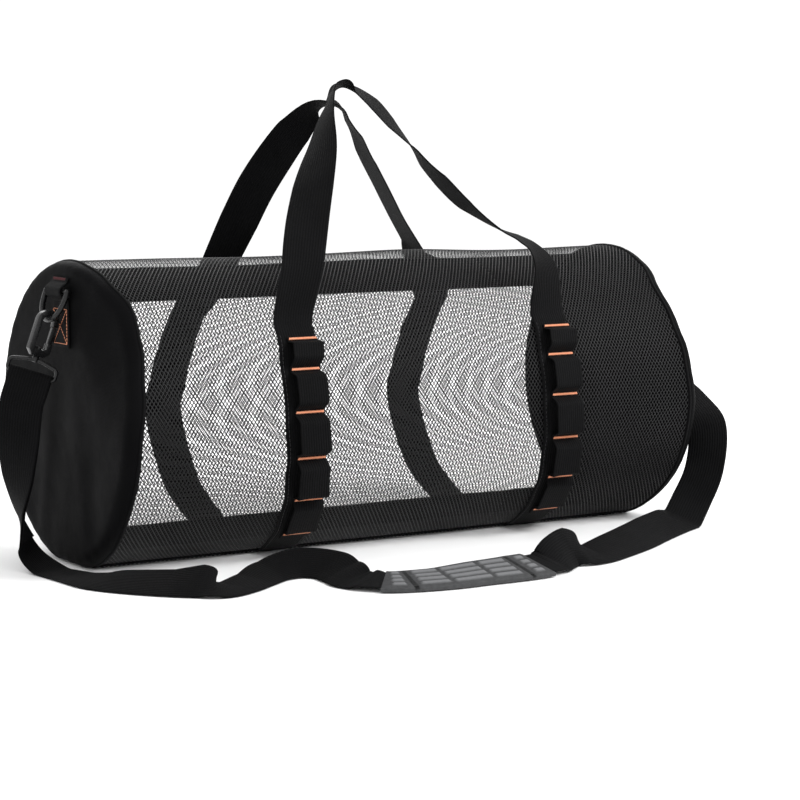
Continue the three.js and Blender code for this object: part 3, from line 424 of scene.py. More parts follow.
# Materials


class Finish:
    """A material's node tree with short calls for what the finishes below share."""

    def __init__(self, name, rough, specular, sheen=0.0, sheen_rough=0.5):
        self.made = bpy.data.materials.new(name)
        self.made.use_nodes = True
        self.tree = self.made.node_tree
        self.shader = self.tree.nodes["Principled BSDF"]
        self.shader.inputs["Roughness"].default_value = rough
        self.shader.inputs["Specular IOR Level"].default_value = specular
        self.shader.inputs["Sheen Weight"].default_value = sheen
        self.shader.inputs["Sheen Roughness"].default_value = sheen_rough
        self.place = self.add("ShaderNodeTexCoord").outputs["Object"]
        self.lay = self.add("ShaderNodeUVMap", uv_map="lay").outputs[0]

    def add(self, kind, **settings):
        """A new node with its settings."""
        node = self.tree.nodes.new(kind)
        for key, value in settings.items():
            setattr(node, key, value)
        return node

    def put(self, value, socket):
        """Links an output to a socket, or sets the socket to a number."""
        if hasattr(value, "is_output"):
            self.tree.links.new(value, socket)
        else:
            socket.default_value = value

    def sum(self, kind, a, b=0.0, c=0.0):
        """Result of one operation on up to three values."""
        node = self.add("ShaderNodeMath", operation=kind)
        for value, socket in zip((a, b, c), node.inputs):
            self.put(value, socket)
        return node.outputs[0]

    def noise(self, scale, detail=3.0, rough=0.55):
        """Soft noise over the object's own coordinates, scale to the metre."""
        node = self.add("ShaderNodeTexNoise")
        self.put(self.place, node.inputs["Vector"])
        node.inputs["Scale"].default_value = scale
        node.inputs["Detail"].default_value = detail
        node.inputs["Roughness"].default_value = rough
        return node.outputs["Fac"]

    def own(self, name):
        """A value that the mesh carries at each of its points."""
        return self.add("ShaderNodeAttribute", attribute_name=name).outputs["Fac"]

    def split(self):
        """Place across a piece and length along it, in millimetres, from its own flat lay."""
        node = self.add("ShaderNodeSeparateXYZ")
        self.put(self.lay, node.inputs[0])
        return node.outputs[0], node.outputs[1]

    def wave(self, value, period):
        """Sine of a length in millimetres over its period, from 0 to 1."""
        turns = self.sum("MULTIPLY", value, 2 * math.pi / period)
        return self.sum("MULTIPLY_ADD", self.sum("SINE", turns), 0.5, 0.5)

    def colour(self, factor, low, high, span=(0.3, 0.7)):
        """Base colour that goes from low to high as the factor crosses the span."""
        node = self.add("ShaderNodeValToRGB")
        for stop, at, value in zip(node.color_ramp.elements, span, (low, high)):
            stop.position = at
            stop.color = (*value, 1)
        self.put(factor, node.inputs[0])
        self.put(node.outputs[0], self.shader.inputs["Base Color"])

    def roughness(self, factor, low, high):
        """Roughness that goes from low to high with the factor."""
        node = self.add("ShaderNodeMapRange")
        self.put(factor, node.inputs[0])
        node.inputs["To Min"].default_value = low
        node.inputs["To Max"].default_value = high
        self.put(node.outputs[0], self.shader.inputs["Roughness"])

    def bump(self, *layers):
        """Heights laid over one another, each with its own depth in metres."""
        before = None
        for height, depth in layers:
            node = self.add("ShaderNodeBump")
            node.inputs["Distance"].default_value = depth
            self.put(height, node.inputs["Height"])
            if before is not None:
                self.put(before, node.inputs["Normal"])
            before = node.outputs[0]
        self.put(before, self.shader.inputs["Normal"])


def net_finish():
    """Coated thread: near black, a little glossy, duller in places."""
    made = Finish("net_thread", 0.45, 0.3)
    mottle = made.noise(900.0, 2.0)
    made.colour(made.noise(14.0), (0.008, 0.008, 0.0085), (0.016, 0.016, 0.017))
    made.roughness(mottle, 0.38, 0.62)
    made.bump((mottle, 0.0001))
    return made.made


def cloth_finish():
    """Coated cloth: fine plain weave under the coat, broad soft unevenness and a low sheen."""
    made = Finish("coated_cloth", 0.5, 0.014, 0.004, 0.35)
    u, v = made.split()
    weave = made.sum("MULTIPLY", made.wave(u, 1.1), made.wave(v, 1.1))
    broad = made.noise(7.0, 4.0)
    fine = made.noise(420.0, 3.0)
    made.colour(broad, (0.0022, 0.0022, 0.0024), (0.0048, 0.0048, 0.0052))
    made.roughness(made.noise(38.0, 4.0), 0.4, 0.6)
    made.bump((broad, 0.004), (weave, 0.00012), (fine, 0.0001))
    return made.made


def web_finish(name, low, high, rib=2.4, pick=1.3, rough=(0.62, 0.86)):
    """Woven webbing: ribs along its length, picks across that step by half from rib to rib, and a
    dusting of loose fibre. Its colour is a random tone with painted highlight on the crowns of the
    weave and painted shade between them."""
    made = Finish(name, 0.8, 0.06, 0.012, 0.5)
    u, v = made.split()
    ribs = made.wave(u, rib)
    step = made.sum("MULTIPLY", made.sum("ROUND", made.sum("DIVIDE", u, rib)), pick / 2)
    picks = made.wave(made.sum("ADD", v, step), pick)
    weave = made.sum("MULTIPLY", made.sum("POWER", ribs, 0.6), made.sum("MULTIPLY_ADD", picks, 0.6, 0.4))
    fuzz = made.noise(700.0, 2.0)
    # colour factor: random tone, with painted highlight on the crowns of the weave and painted shade in its
    # hollows
    tone_and_weave_shade = made.sum("MULTIPLY_ADD", made.noise(26.0, 5.0), 0.55, made.sum("MULTIPLY", weave, 0.45))
    made.colour(tone_and_weave_shade, low, high, (0.25, 0.85))
    made.roughness(fuzz, *rough)
    made.bump((weave, 0.00035), (fuzz, 0.0001))
    return made.made


def plastic_finish():
    """Moulded plastic: satin, slightly pebbled, greyer where rubbing has marked it."""
    made = Finish("hardware_plastic", 0.3, 0.3)
    made.colour(made.noise(60.0, 4.0), (0.003, 0.0031, 0.0033), (0.008, 0.0082, 0.0088))
    made.roughness(made.noise(160.0, 3.0), 0.2, 0.34)
    made.bump((made.noise(1400.0, 2.0), 0.00005))
    return made.made


def rubber_finish():
    """Moulded rubber: matt, with a random tone, painted light on what stands up and painted shade in what
    is sunk.
    """
    made = Finish("grip_rubber", 0.7, 0.2)
    # colour factor: painted light on the standing ribs and painted shade in the grooves, from the pad's
    # point value, with a random tone laid over it
    tone_and_rib_shade = made.sum("MULTIPLY_ADD", made.noise(300.0, 5.0), 0.3, made.own("rib_shading"))
    made.colour(tone_and_rib_shade, (0.006, 0.0061, 0.0064), (0.15, 0.152, 0.157), (0.1, 1.1))
    made.roughness(made.noise(220.0, 3.0), 0.62, 0.85)
    made.bump((made.noise(1100.0, 3.0), 0.00008))
    return made.made


def thread_finish(name, low, high):
    """Sewing thread: its ply shows as slanting bands, with painted highlight on the crowns and painted
    shade between them over a random tone.
    """
    made = Finish(name, 0.55, 0.25, 0.1, 0.4)
    u, v = made.split()
    ply = made.wave(made.sum("MULTIPLY_ADD", u, 0.12, v), 0.75)
    # colour factor: painted highlight on the crowns of the ply and painted shade between them, half and
    # half with a random tone
    made.colour(made.sum("MULTIPLY_ADD", ply, 0.5, made.sum("MULTIPLY", made.noise(120.0), 0.5)), low, high)
    made.roughness(made.noise(500.0), 0.45, 0.65)
    made.bump((ply, 0.00008))
    return made.made


NET = net_finish()
COATED = cloth_finish()
WEB = web_finish("webbing_black", (0.0012, 0.0012, 0.0014), (0.005, 0.005, 0.0055))
TAPE = web_finish("zip_tape", (0.0018, 0.0018, 0.002), (0.005, 0.005, 0.0056), 1.5, 1.1, (0.55, 0.8))
PLASTIC = plastic_finish()
RUBBER = rubber_finish()
ORANGE = thread_finish("thread_orange", (0.72, 0.21, 0.09), (0.95, 0.46, 0.28))
RED = thread_finish("thread_red", (0.03, 0.006, 0.008), (0.11, 0.02, 0.024))
BLACK_THREAD = thread_finish("thread_black", (0.008, 0.008, 0.009), (0.02, 0.02, 0.022))


# Objects


def piece(name, part, finish, replaces=(), body="bag", sharp=None):
    """A mesh object at the origin from a part given in millimetres, riding on a body."""
    points, faces, lay = part
    mesh = bpy.data.meshes.new(name)
    mesh.vertices.add(len(points))
    mesh.vertices.foreach_set("co", (points * MM).astype(np.float32).ravel())
    mesh.loops.add(faces.size)
    mesh.loops.foreach_set("vertex_index", faces.astype(np.int32).ravel())
    mesh.polygons.add(len(faces))
    mesh.polygons.foreach_set("loop_start", np.arange(0, faces.size, 4, dtype=np.int32))
    mesh.update(calc_edges=True)
    flat = mesh.uv_layers.new(name="lay")
    flat.data.foreach_set("uv", lay[faces.ravel()].astype(np.float32).ravel())
    mesh.shade_smooth()
    if sharp is not None:
        mesh.set_sharp_from_angle(angle=math.radians(sharp))
    mesh.materials.append(finish)
    made = bpy.data.objects.new(name, mesh)
    bpy.context.scene.collection.objects.link(made)
    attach(made, body)
    if replaces:
        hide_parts(*replaces)
    return made


def thicken(made, thick):
    """Gives a sheet its wall, inwards from the face that was made."""
    wall = made.modifiers.new("wall", "SOLIDIFY")
    wall.thickness = thick * MM
    wall.offset = -1.0
    return made


# Net


def net_threads(low, high, start, stop):
    """Two families of threads on the drum. Crossing (p, q) with p + q even lies at p cell shares
    along and q round, shifted by slow sine waves of a millimetre or so; one family steps (1, 1) and
    the other (1, -1), and at every crossing one passes over and the other under by turns. Kept are
    the steps whose ends are both inside the panel and whose middle is between start and stop."""
    lean = math.radians(CELL_TURN)
    step_along, step_round = CELL * math.cos(lean), CELL * math.sin(lean)
    arc = lambda angle: math.radians(angle) * RADIUS
    p = np.arange(-2, int(LENGTH / step_along) + 4)
    q = np.arange(int(arc(low) / step_round) - 2, int(arc(high) / step_round) + 3)
    p, q = np.meshgrid(p, q, indexing="ij")
    flat_along, flat_round = p * step_along, q * step_round
    along = flat_along + 1.1 * np.sin(flat_round / 61 + flat_along / 97) + 0.5 * np.sin(flat_along / 23)
    around = flat_round + 1.3 * np.sin(flat_along / 71 - flat_round / 83)
    angle = np.degrees(around / RADIUS)
    inside = (angle > low) & (angle < high) & ((p + q) % 2 == 0)
    inside &= (along > seam_at(angle, 0) - 0.6) & (along < seam_at(angle, 1) + 0.6)
    turn = np.radians(angle)
    out = np.stack([np.zeros_like(turn), np.sin(turn), np.cos(turn)], -1)
    round_way = np.stack([np.zeros_like(turn), np.cos(turn), -np.sin(turn)], -1)
    lengthways = np.array([1.0, 0, 0])
    parts = []
    for way in (1, -1):
        lift = WEAVE_LIFT * way * np.where(p % 2, -1, 1) - CLOTH / 2
        middle = drum(along, angle, lift)
        side = -way * math.sin(lean) * lengthways + math.cos(lean) * round_way
        corner = [(-1, 0), (0, 1), (1, 0), (0, -1)]
        points = np.stack(
            [middle + side * (a * THREAD_WIDE) + out * (b * THREAD_THICK) for a, b in corner], 2
        )
        index = np.arange(p.size).reshape(p.shape)[..., None] * 4 + np.arange(4)
        ahead = np.roll(np.roll(index, -1, 0), -way, 1)
        ends_in = inside & np.roll(np.roll(inside, -1, 0), -way, 1)
        ends_in[-1] = False
        ends_in[:, -1 if way > 0 else 0] = False
        centre = along + step_along / 2
        kept = ends_in & (centre >= start) & (centre < stop)
        before = np.roll(np.roll(kept, 1, 0), way, 1)
        after = np.roll(np.roll(kept, -1, 0), -way, 1)
        faces = np.stack([index, ahead, np.roll(ahead, -1, -1), np.roll(index, -1, -1)], -1)
        faces = [faces[kept].reshape(-1, 4), index[kept & ~before], ahead[kept & ~after][:, ::-1]]
        faces = np.vstack(faces)
        used, faces = np.unique(faces, return_inverse=True)
        points = points.reshape(-1, 3)[used]
        lay = np.stack([flat_along, flat_round], -1).reshape(-1, 2)[used // 4]
        parts.append(outwards(points, faces.reshape(-1, 4), lay))
    return together(parts)


for node, low, high, stretches in (
    ("net_front", BASE_TO - 360 - TUCK, ZIP_FROM + TUCK, 3),
    ("net_back", ZIP_TO - TUCK, BASE_FROM + TUCK, 2),
):
    cuts = np.linspace(-NET_OVER, LENGTH + NET_OVER, stretches + 1)
    for k in range(stretches):
        threads = net_threads(low, high, cuts[k], cuts[k + 1])
        piece(f"{node}_threads_{k + 1}", threads, NET, [node])


# Zip


def zip_tapes():
    """The band under the zip: a strip of the drum's surface, puckered a little along the teeth by
    the product of two sines of the place along it."""
    angle = np.concatenate([
        np.linspace(ZIP_FROM - 0.3, TEETH_ANGLE - TEETH_GAP, 12),
        np.linspace(TEETH_ANGLE + TEETH_GAP, ZIP_TO + 0.3, 12),
    ])
    share = np.linspace(0, 1, 181)
    angle, share = np.meshgrid(angle, share, indexing="ij")
    along = seam_at(angle, 0) + (seam_at(angle, 1) - seam_at(angle, 0)) * share
    near = np.exp(-(((angle - TEETH_ANGLE) / 5.0) ** 2))
    pucker = 0.35 * np.sin(along / 5.2) * np.sin(along / 37) * near
    pucker = pucker + 0.25 * np.sin(along / 61 + angle / 3)
    points = drum(along, angle, 0.1 + pucker * 0.6)
    return grid(points, np.stack([np.radians(angle) * RADIUS, along], -1))


def zip_teeth():
    """Two rows of bent teeth, each row half a pitch on from the other, laid along the drum at one
    angle."""
    t = np.linspace(-1, 1, 4)
    corner = np.array([[-1, -1], [1, -1], [1, 1], [-1, 1]]) * 0.5
    rings = np.stack([
        np.broadcast_to(t[:, None] * TOOTH_LONG, (4, 4)),
        corner[None, :, 0] * np.array([0.7, 1.05, 1.05, 0.8])[:, None],
        corner[None, :, 1] * TOOTH_HIGH + (0.75 - 0.25 * t**2)[:, None],
    ], -1)
    tooth = carried(rings)
    rows = []
    for side in (-1, 1):
        along = np.arange(ZIP_END + side * TOOTH_PITCH / 4, LENGTH - ZIP_END, TOOTH_PITCH)
        turn = math.radians(TEETH_ANGLE)
        across = np.array([0, math.cos(turn), -math.sin(turn)]) * side
        up = np.array([0, math.sin(turn), math.cos(turn)])
        place = drum(along, TEETH_ANGLE, 0.25) + across * TOOTH_ASIDE
        fill = lambda v: np.tile(v, (len(along), 1))
        rows.append(copies(tooth, place, fill(-across), fill(np.array([1.0, 0, 0])), fill(up)))
    return together(rows)


thicken(piece("zip_tapes", zip_tapes(), TAPE, ["zip_band"]), CLOTH)
piece("zip_teeth", zip_teeth(), PLASTIC, sharp=50)


# Cloth panels


def base_cloth():
    """The bottom panel: a strip of the drum's surface that swells gently between the rings of
    webbing, and stays flat where the bag rests."""
    angle, share = np.linspace(BASE_FROM - BASE_TUCK, BASE_TO + BASE_TUCK, 49), np.linspace(0, 1, 141)
    angle, share = np.meshgrid(angle, share, indexing="ij")
    along = seam_at(angle, 0) + (seam_at(angle, 1) - seam_at(angle, 0)) * share
    off_flat = ease(np.abs(angle - BELOW), 12, 20)
    wave = 0.5 * np.sin(along / 31 + angle / 9) + 0.35 * np.sin(along / 13 - angle / 5)
    points = drum(along, angle, 0.15 + wave * 0.5 * off_flat)
    points[..., 2] = np.maximum(points[..., 2], FLOOR_SKIN)
    return grid(points, np.stack([np.radians(angle) * RADIUS, along], -1))


def bell(value, centre, spread):
    """e to the power of minus the square of the distance from the centre over the spread."""
    return np.exp(-(((value - centre) / spread) ** 2))


def end_folds(across, up, radial):
    """Depth of the folds of an end panel: slanting bell-shaped valleys and ridges that deepen
    downwards and die away at the rim and under the tab."""
    low = 1 - ease(up, -0.35, 0.45)
    depth = sum(
        deep * bell(across + slant * up, centre, spread) * (kept + (1 - kept) * low)
        for deep, slant, centre, spread, kept in END_FOLDS
    )
    under_tab = bell(across, 0.0, 0.22) * ease(up, 0.3, 0.5)
    return 0.6 * depth * (1 - under_tab) * (1 - ease(radial, 0.8, 0.99))


def end_cloth(side):
    """An end panel: a dish whose rim rolls over to the seam, as (1 - s^2.6)^0.5 of the bulge over the
    outer tenth of the radius, less its folds. The gathers at the rim are a fast ripple that dies
    away inwards."""
    share = 0 if side < 0 else 1
    turn = np.linspace(-180, 180, 145)[:-1]
    depth = np.concatenate([np.linspace(1.0, 0.94, 14)[:-1], np.linspace(0.94, 0.05, 46)])
    angle, radial = np.meshgrid(turn, depth, indexing="ij")
    rim = 1 - np.clip((1 - radial) / 0.1, 0, 1)
    bulge = np.sqrt(np.maximum(1 - rim**2.6, 0))
    seam = seam_at(angle, share)
    settle = ease(radial, 0.5, 1.0)
    base = share * LENGTH + (seam - share * LENGTH) * settle
    full = drum(seam, angle)
    full = np.hypot(full[..., 1], full[..., 2] - MIDDLE)
    radius = radial * full
    around = np.radians(angle)
    sin, cos = np.sin(around), np.cos(around)
    gather = 0.22 * np.sin(around * 46 + 2 * np.sin(around * 3)) * bell(radial, 0.965, 0.03)
    out = bulge * END_BULGE - end_folds(sin * radius / RADIUS, cos * radius / RADIUS, radial) + gather
    points = np.stack([base + side * out - HALF, radius * sin, MIDDLE + radius * cos], -1)
    points[..., 2] = np.maximum(points[..., 2], FLOOR_SKIN)
    lay = np.stack([radius * sin, radius * cos], -1)
    count, rows = angle.shape
    index = np.arange(count * rows).reshape(count, rows)
    after = np.roll(index, -1, 0)
    faces = np.stack([index[:, :-1], index[:, 1:], after[:, 1:], after[:, :-1]], -1).reshape(-1, 4)
    k = np.arange(count // 2 - 1)
    hub = np.stack([index[count - 1 - k, -1], index[count - 2 - k, -1], index[k + 1, -1], index[k, -1]], -1)
    return facing_out(points.reshape(-1, 3), np.vstack([faces, hub]), lay.reshape(-1, 2))


def seam_piping(side):
    """The bound seam round an end: a cord of oval section that follows the seam all the way round,
    thicker and thinner by turns where the binding is gathered."""
    share = 0 if side < 0 else 1
    angle = np.linspace(-180, 180, 361)[:-1]
    line = drum(seam_at(angle, share), angle, -PIPING_SINK)
    line[:, 2] = np.maximum(line[:, 2], PIPING_RADIUS + 0.2)
    centre = np.array([0, 0, MIDDLE])
    face = unit((line - centre) * [0, 1, 1])
    radius = PIPING_RADIUS + 0.05 * np.sin(np.radians(angle) * 61) + 0.06 * np.sin(np.radians(angle) * 23)
    return tube(line, radius, 12, face, closed=True, flat=0.95)


base = thicken(piece("base_cloth", base_cloth(), COATED, ["bottom_panel"]), CLOTH)
for word, side in (("left", -1), ("right", 1)):
    end = piece(f"end_cloth_{word}", end_cloth(side), COATED, [f"end_panel_{word}"])
    thicken(end, END_THICK)
    piece(f"seam_piping_{word}", seam_piping(side), WEB)


# Handles, rings and ladders


def handle_line(sign, table, per=8, step=2.0):
    """Middle line and width direction of one handle with its two rings: along each ring it lies on
    the drum, and between them it follows the table, the width turning half round on the way."""
    top = FOOT_FRONT if sign < 0 else FOOT_BACK
    low = BASE_TO - 360 + RING_START if sign < 0 else BASE_FROM - RING_START
    angles = np.linspace(low, top, int(abs(top - low) / step) + 1)
    lift = LAY + WEB_THICK / 2
    sides = []
    for ring in (LEFT_RING, RIGHT_RING):
        place = ring_along(ring, angles)
        ahead, behind = place + DIRECTION_SPAN, place - DIRECTION_SPAN
        lengthways = drum(ahead, angles, lift) - drum(behind, angles, lift)
        sides.append((drum(place, angles, lift), lengthways))
    before = top + sign * FOOT_RUN
    joint = lambda ring, angle: drum(ring_along(ring, angle), angle, lift)
    points = [joint(LEFT_RING, before), joint(LEFT_RING, top)]
    points += [
        np.array([LEFT_RING + run * STRAP_SPACING - HALF, out * RADIUS, MIDDLE + rise * HANDLE_RISE])
        for run, out, rise, _ in table
    ]
    points += [joint(RIGHT_RING, top), joint(RIGHT_RING, before)]
    turns = np.array([0, 0, *[row[3] for row in table], 1, 1])
    places, _ = route(points, per)
    share = np.interp(np.arange(len(places)) / per, np.arange(len(turns)), turns)
    compass = -np.pi * share if sign < 0 else np.pi + np.pi * share
    free = np.stack([np.cos(compass), np.sin(compass), 0 * compass], -1)
    inner = slice(per + 2, (len(points) - 2) * per - 1)
    way = 1 if sign < 0 else -1
    middle = np.vstack([sides[0][0], places[inner], sides[1][0][::-1]])
    across = np.vstack([way * sides[0][1], free[inner], -way * sides[1][1][::-1]])
    return middle, across


def ladder_line(ring):
    """Middle line of a loop ladder. At a distance d from the nearer seam it stands off by the loop
    height times sin(pi/2 s), where s goes from 0 at the foot to 1 at the shoulder."""
    low = LAY + WEB_THICK + SEWN_GAP + LADDER_THICK / 2
    distances = [np.array([-LADDER_HEAD])]
    seams = -np.radians(LADDER_SEAMS) * RADIUS
    seams = seams - seams[0]
    for a, b in zip(seams, seams[1:]):
        distances.append(np.linspace(a, b, 41)[:-1])
    distances.append(np.array([seams[-1], seams[-1] + LADDER_TAIL]))
    distance = np.concatenate(distances)
    away = np.abs(distance[:, None] - seams).min(1)
    share = np.clip((away - LADDER_FOOT) / (LADDER_SHOULDER - LADDER_FOOT), 0, 1)
    share = share * (distance >= 0) * (distance <= seams[-1])
    full = np.where(distance > seams[-2], LADDER_LAST_LOOP, LADDER_LOOP)
    over = full * np.sin(np.pi / 2 * share)
    angles = LADDER_SEAMS[0] - np.degrees(distance / RADIUS)
    return drum(ring_along(ring, angles) + LADDER_SHIFT, angles, low + over)


FORWARD = np.array([1.0, 0, 0])
for word, sign, table in (("front", -1, FRONT_HANDLE), ("back", 1, BACK_HANDLE)):
    middle, across = handle_line(sign, table)
    strip = webbing(middle, across, WEB_WIDTH, WEB_THICK)
    piece(f"handle_web_{word}", strip, WEB, [f"handle_strap_{word}"], sharp=60)

for word, ring in (("left", LEFT_RING), ("right", RIGHT_RING)):
    middle = ladder_line(ring)
    strip = webbing(middle, np.tile(FORWARD, (len(middle), 1)), LADDER_WIDTH, LADDER_THICK)
    piece(f"ladder_web_{word}", strip, WEB, [f"loop_ladder_{word}"], sharp=60)
    tacks = []
    for angle in LADDER_SEAMS:
        turn = math.radians(angle)
        up = np.array([0, math.sin(turn), math.cos(turn)])
        over = LAY + WEB_THICK + SEWN_GAP + LADDER_THICK
        place = drum(ring_along(ring, angle) + LADDER_SHIFT, angle, over)
        tacks.append(bartack(place, FORWARD, up, LADDER_WIDTH - 3, 1.9, 20, 0.5))
    piece(f"ladder_stitches_{word}", together(tacks), ORANGE)


# End tabs and rings


def end_face(side):
    """Place along X of the flat of an end panel."""
    return side * (HALF + END_BULGE)


def tab_line(side):
    """Middle line of a tab: flat on the end panel below, arched over the bar of the ring, and flat
    again above."""
    rest = WEB_THICK / 2
    outside = WEB_THICK * 1.5 + RING_WIRE * 2 + 1.5
    rows = [
        (TAB_LOW, rest), (TAB_BAR - 40, rest), (TAB_BAR - 24, rest), (TAB_BAR - 12, rest),
        (TAB_BAR - 8, rest + 0.6), (TAB_BAR - 5, outside * 0.62), (TAB_BAR - 3, outside * 0.9),
        (TAB_BAR, outside), (TAB_BAR + 3, outside * 0.92), (TAB_BAR + 5.5, outside * 0.62),
        (TAB_BAR + 8, outside * 0.25), (TAB_HIGH, rest),
    ]
    face = end_face(side) + side * SEWN_GAP
    return route([(face + side * over, TAB_MIDDLE, MIDDLE + height) for height, over in rows], 6)[0]


def ring_bar(side):
    """Middle of the straight bar of a D-ring."""
    over = SEWN_GAP + WEB_THICK + 0.5 + RING_WIRE
    return np.array([end_face(side) + side * over, TAB_MIDDLE, MIDDLE + TAB_BAR])


def ring_down(side):
    """Direction in which a D-ring hangs."""
    tilt = math.radians(RING_TILT)
    return np.array([side * math.sin(tilt), 0, -math.cos(tilt)])


def ring_line(side):
    """Outline of a D-ring: a straight bar and a bow whose drop is the ring's times sin^0.75."""
    reach = WEB_WIDTH / 2 + 0.5 + RING_WIRE
    turn = np.linspace(0, np.pi, 49)
    across = np.concatenate([reach * np.cos(turn), np.linspace(-reach, reach, 14)[1:-1]])
    drop = np.concatenate([RING_DROP * np.sin(turn) ** 0.75, np.zeros(12)])
    return ring_bar(side) + np.outer(drop, ring_down(side)) + np.outer(across, [0, 1, 0])


for word, side in (("left", -1), ("right", 1)):
    middle = tab_line(side)
    strip = webbing(middle, np.tile([0.0, 1.0, 0.0], (len(middle), 1)), TAB_WIDTH, WEB_THICK)
    piece(f"tab_web_{word}", strip, WEB, [f"end_tab_{word}"], sharp=60)
    line = ring_line(side)
    flat = np.tile(np.cross(ring_down(side), [0, 1.0, 0]), (len(line), 1))
    ring = tube(line, RING_WIRE, 14, flat, closed=True)
    piece(f"ring_{word}", ring, PLASTIC, [f"d_ring_{word}"])
    out = np.array([side * 1.0, 0, 0])
    x = end_face(side) + side * (SEWN_GAP + WEB_THICK + 0.12)
    low = MIDDLE + TAB_LOW + SEWN_BOX_FOOT
    high = low + SEWN_BOX
    near, far = TAB_MIDDLE - SEWN_BOX / 2 + 1.5, TAB_MIDDLE + SEWN_BOX / 2 - 1.5
    corner = lambda y, z: np.array([x, y, z])
    runs = [
        (corner(near, low), corner(far, low)), (corner(far, low), corner(far, high)),
        (corner(far, high), corner(near, high)), (corner(near, high), corner(near, low)),
        (corner(near, low), corner(far, high)), (corner(far, low), corner(near, high)),
    ]
    rows = [
        stitches(np.linspace(a, b, 20), np.tile(out, (20, 1)), 3.0, 2.4, 0.75, 0.6) for a, b in runs
    ]
    over = SEWN_GAP + WEB_THICK + 0.1
    top = np.array([end_face(side) + side * over, TAB_MIDDLE, MIDDLE + TAB_HIGH - 1.5])
    piece(f"tab_stitches_{word}", together(rows), ORANGE)
    piece(f"tab_bartack_{word}", bartack(top, np.array([0, 1.0, 0]), out, WEB_WIDTH - 14, 2.4), RED)


# Hooks


def rounded(node, name, edge, body):
    """A moulded piece: the frame's own solid with its loose triangles merged, its flat faces joined
    and its edges rounded by the edge radius."""
    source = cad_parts[node]
    mesh = source.data.copy()
    mesh.name = name
    work = bmesh.new()
    work.from_mesh(mesh)
    bmesh.ops.remove_doubles(work, verts=work.verts, dist=2e-6)
    flat_within = math.radians(1.5)
    bmesh.ops.dissolve_limit(
        work, angle_limit=flat_within, verts=work.verts, edges=work.edges, use_dissolve_boundaries=False
    )
    bmesh.ops.recalc_face_normals(work, faces=work.faces)
    work.to_mesh(mesh)
    work.free()
    mesh.materials.clear()
    mesh.materials.append(PLASTIC)
    mesh.shade_smooth()
    made = bpy.data.objects.new(name, mesh)
    bpy.context.scene.collection.objects.link(made)
    bevel = made.modifiers.new("edge", "BEVEL")
    bevel.width = edge * MM
    bevel.segments = 3
    bevel.limit_method = "ANGLE"
    bevel.angle_limit = math.radians(38)
    bevel.harden_normals = True
    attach(made, body)
    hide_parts(node)
    return made


def swivel_bar(side):
    """Middle, width direction and lengthways direction of the bar that holds the strap."""
    tilt = math.radians(HOOK_TILT)
    up = np.array([-side * math.sin(tilt), 0, math.cos(tilt)])
    inward = np.array([-side * math.cos(tilt), 0, -math.sin(tilt)])
    across = np.cross(inward, up)
    origin = ring_bar(side) + ring_down(side) * RING_DROP
    turn = math.radians(-SWIVEL_TURN) if side < 0 else 0.0
    wide = inward * math.cos(turn) - across * math.sin(turn)
    if wide[0] < 0:
        wide = -wide
    return origin - up * LOOP_LOW, wide, up


def bent(corners, radius, steps=7):
    """A closed line through corners, each rounded by the curve (1-t)^2 P + 2t(1-t) C + t^2 Q
    between the points P and Q at the radius before and after the corner C."""
    corners = np.asarray(corners, float)
    before = corners + unit(np.roll(corners, 1, 0) - corners) * radius
    after = corners + unit(np.roll(corners, -1, 0) - corners) * radius
    t = np.linspace(0, 1, steps)[None, :, None]
    line = (1 - t) ** 2 * before[:, None] + 2 * t * (1 - t) * corners[:, None] + t**2 * after[:, None]
    return line.reshape(-1, corners.shape[1])


def swivel(side):
    """A loop of round rod with the bar below and two shoulders that slope up to the neck, and a
    turned post with a head inside the hook."""
    bar, wide, up = swivel_bar(side)
    origin = bar + up * LOOP_LOW
    reach = WEB_WIDTH / 2 + 0.6 + LOOP_WIRE
    corners = [
        (-reach, -LOOP_LOW), (reach, -LOOP_LOW), (reach, -LOOP_TOP - 3.4),
        (5.5, -LOOP_TOP + 0.4), (-5.5, -LOOP_TOP + 0.4), (-reach, -LOOP_TOP - 3.4),
    ]
    flat = bent(corners, 3.2)
    line = origin + np.outer(flat[:, 0], wide) + np.outer(flat[:, 1], up)
    loop = tube(line, LOOP_WIRE, 14, np.tile(np.cross(wide, up), (len(line), 1)), closed=True)
    profile = np.array([
        (-LOOP_TOP - 1.6, 1.2), (-LOOP_TOP - 1.2, 2.8), (-LOOP_TOP + 2.2, 3.4), (-LOOP_TOP + 3.2, 2.6),
        (-HOOK_LOW + 7.2, 2.5), (-HOOK_LOW + 7.3, 3.2), (-HOOK_LOW + 8.3, 3.4), (-HOOK_LOW + 8.8, 2.4),
    ])
    stem = origin + np.outer(profile[:, 0], up)
    post = tube(stem, profile[:, 1], 16, np.tile(wide, (len(profile), 1)))
    return together([loop, post])


for word, side in (("left", -1), ("right", 1)):
    rounded(f"hook_body_{word}", f"hook_frame_{word}", 1.7, "bag")
    rounded(f"hook_gate_{word}", f"gate_{word}_bar", 0.9, f"gate_{word}")
    piece(f"swivel_{word}", swivel(side), PLASTIC, [f"hook_swivel_{word}"], sharp=50)
rounded("zip_slider", "slider_pull", 0.5, "bag")


# Shoulder strap


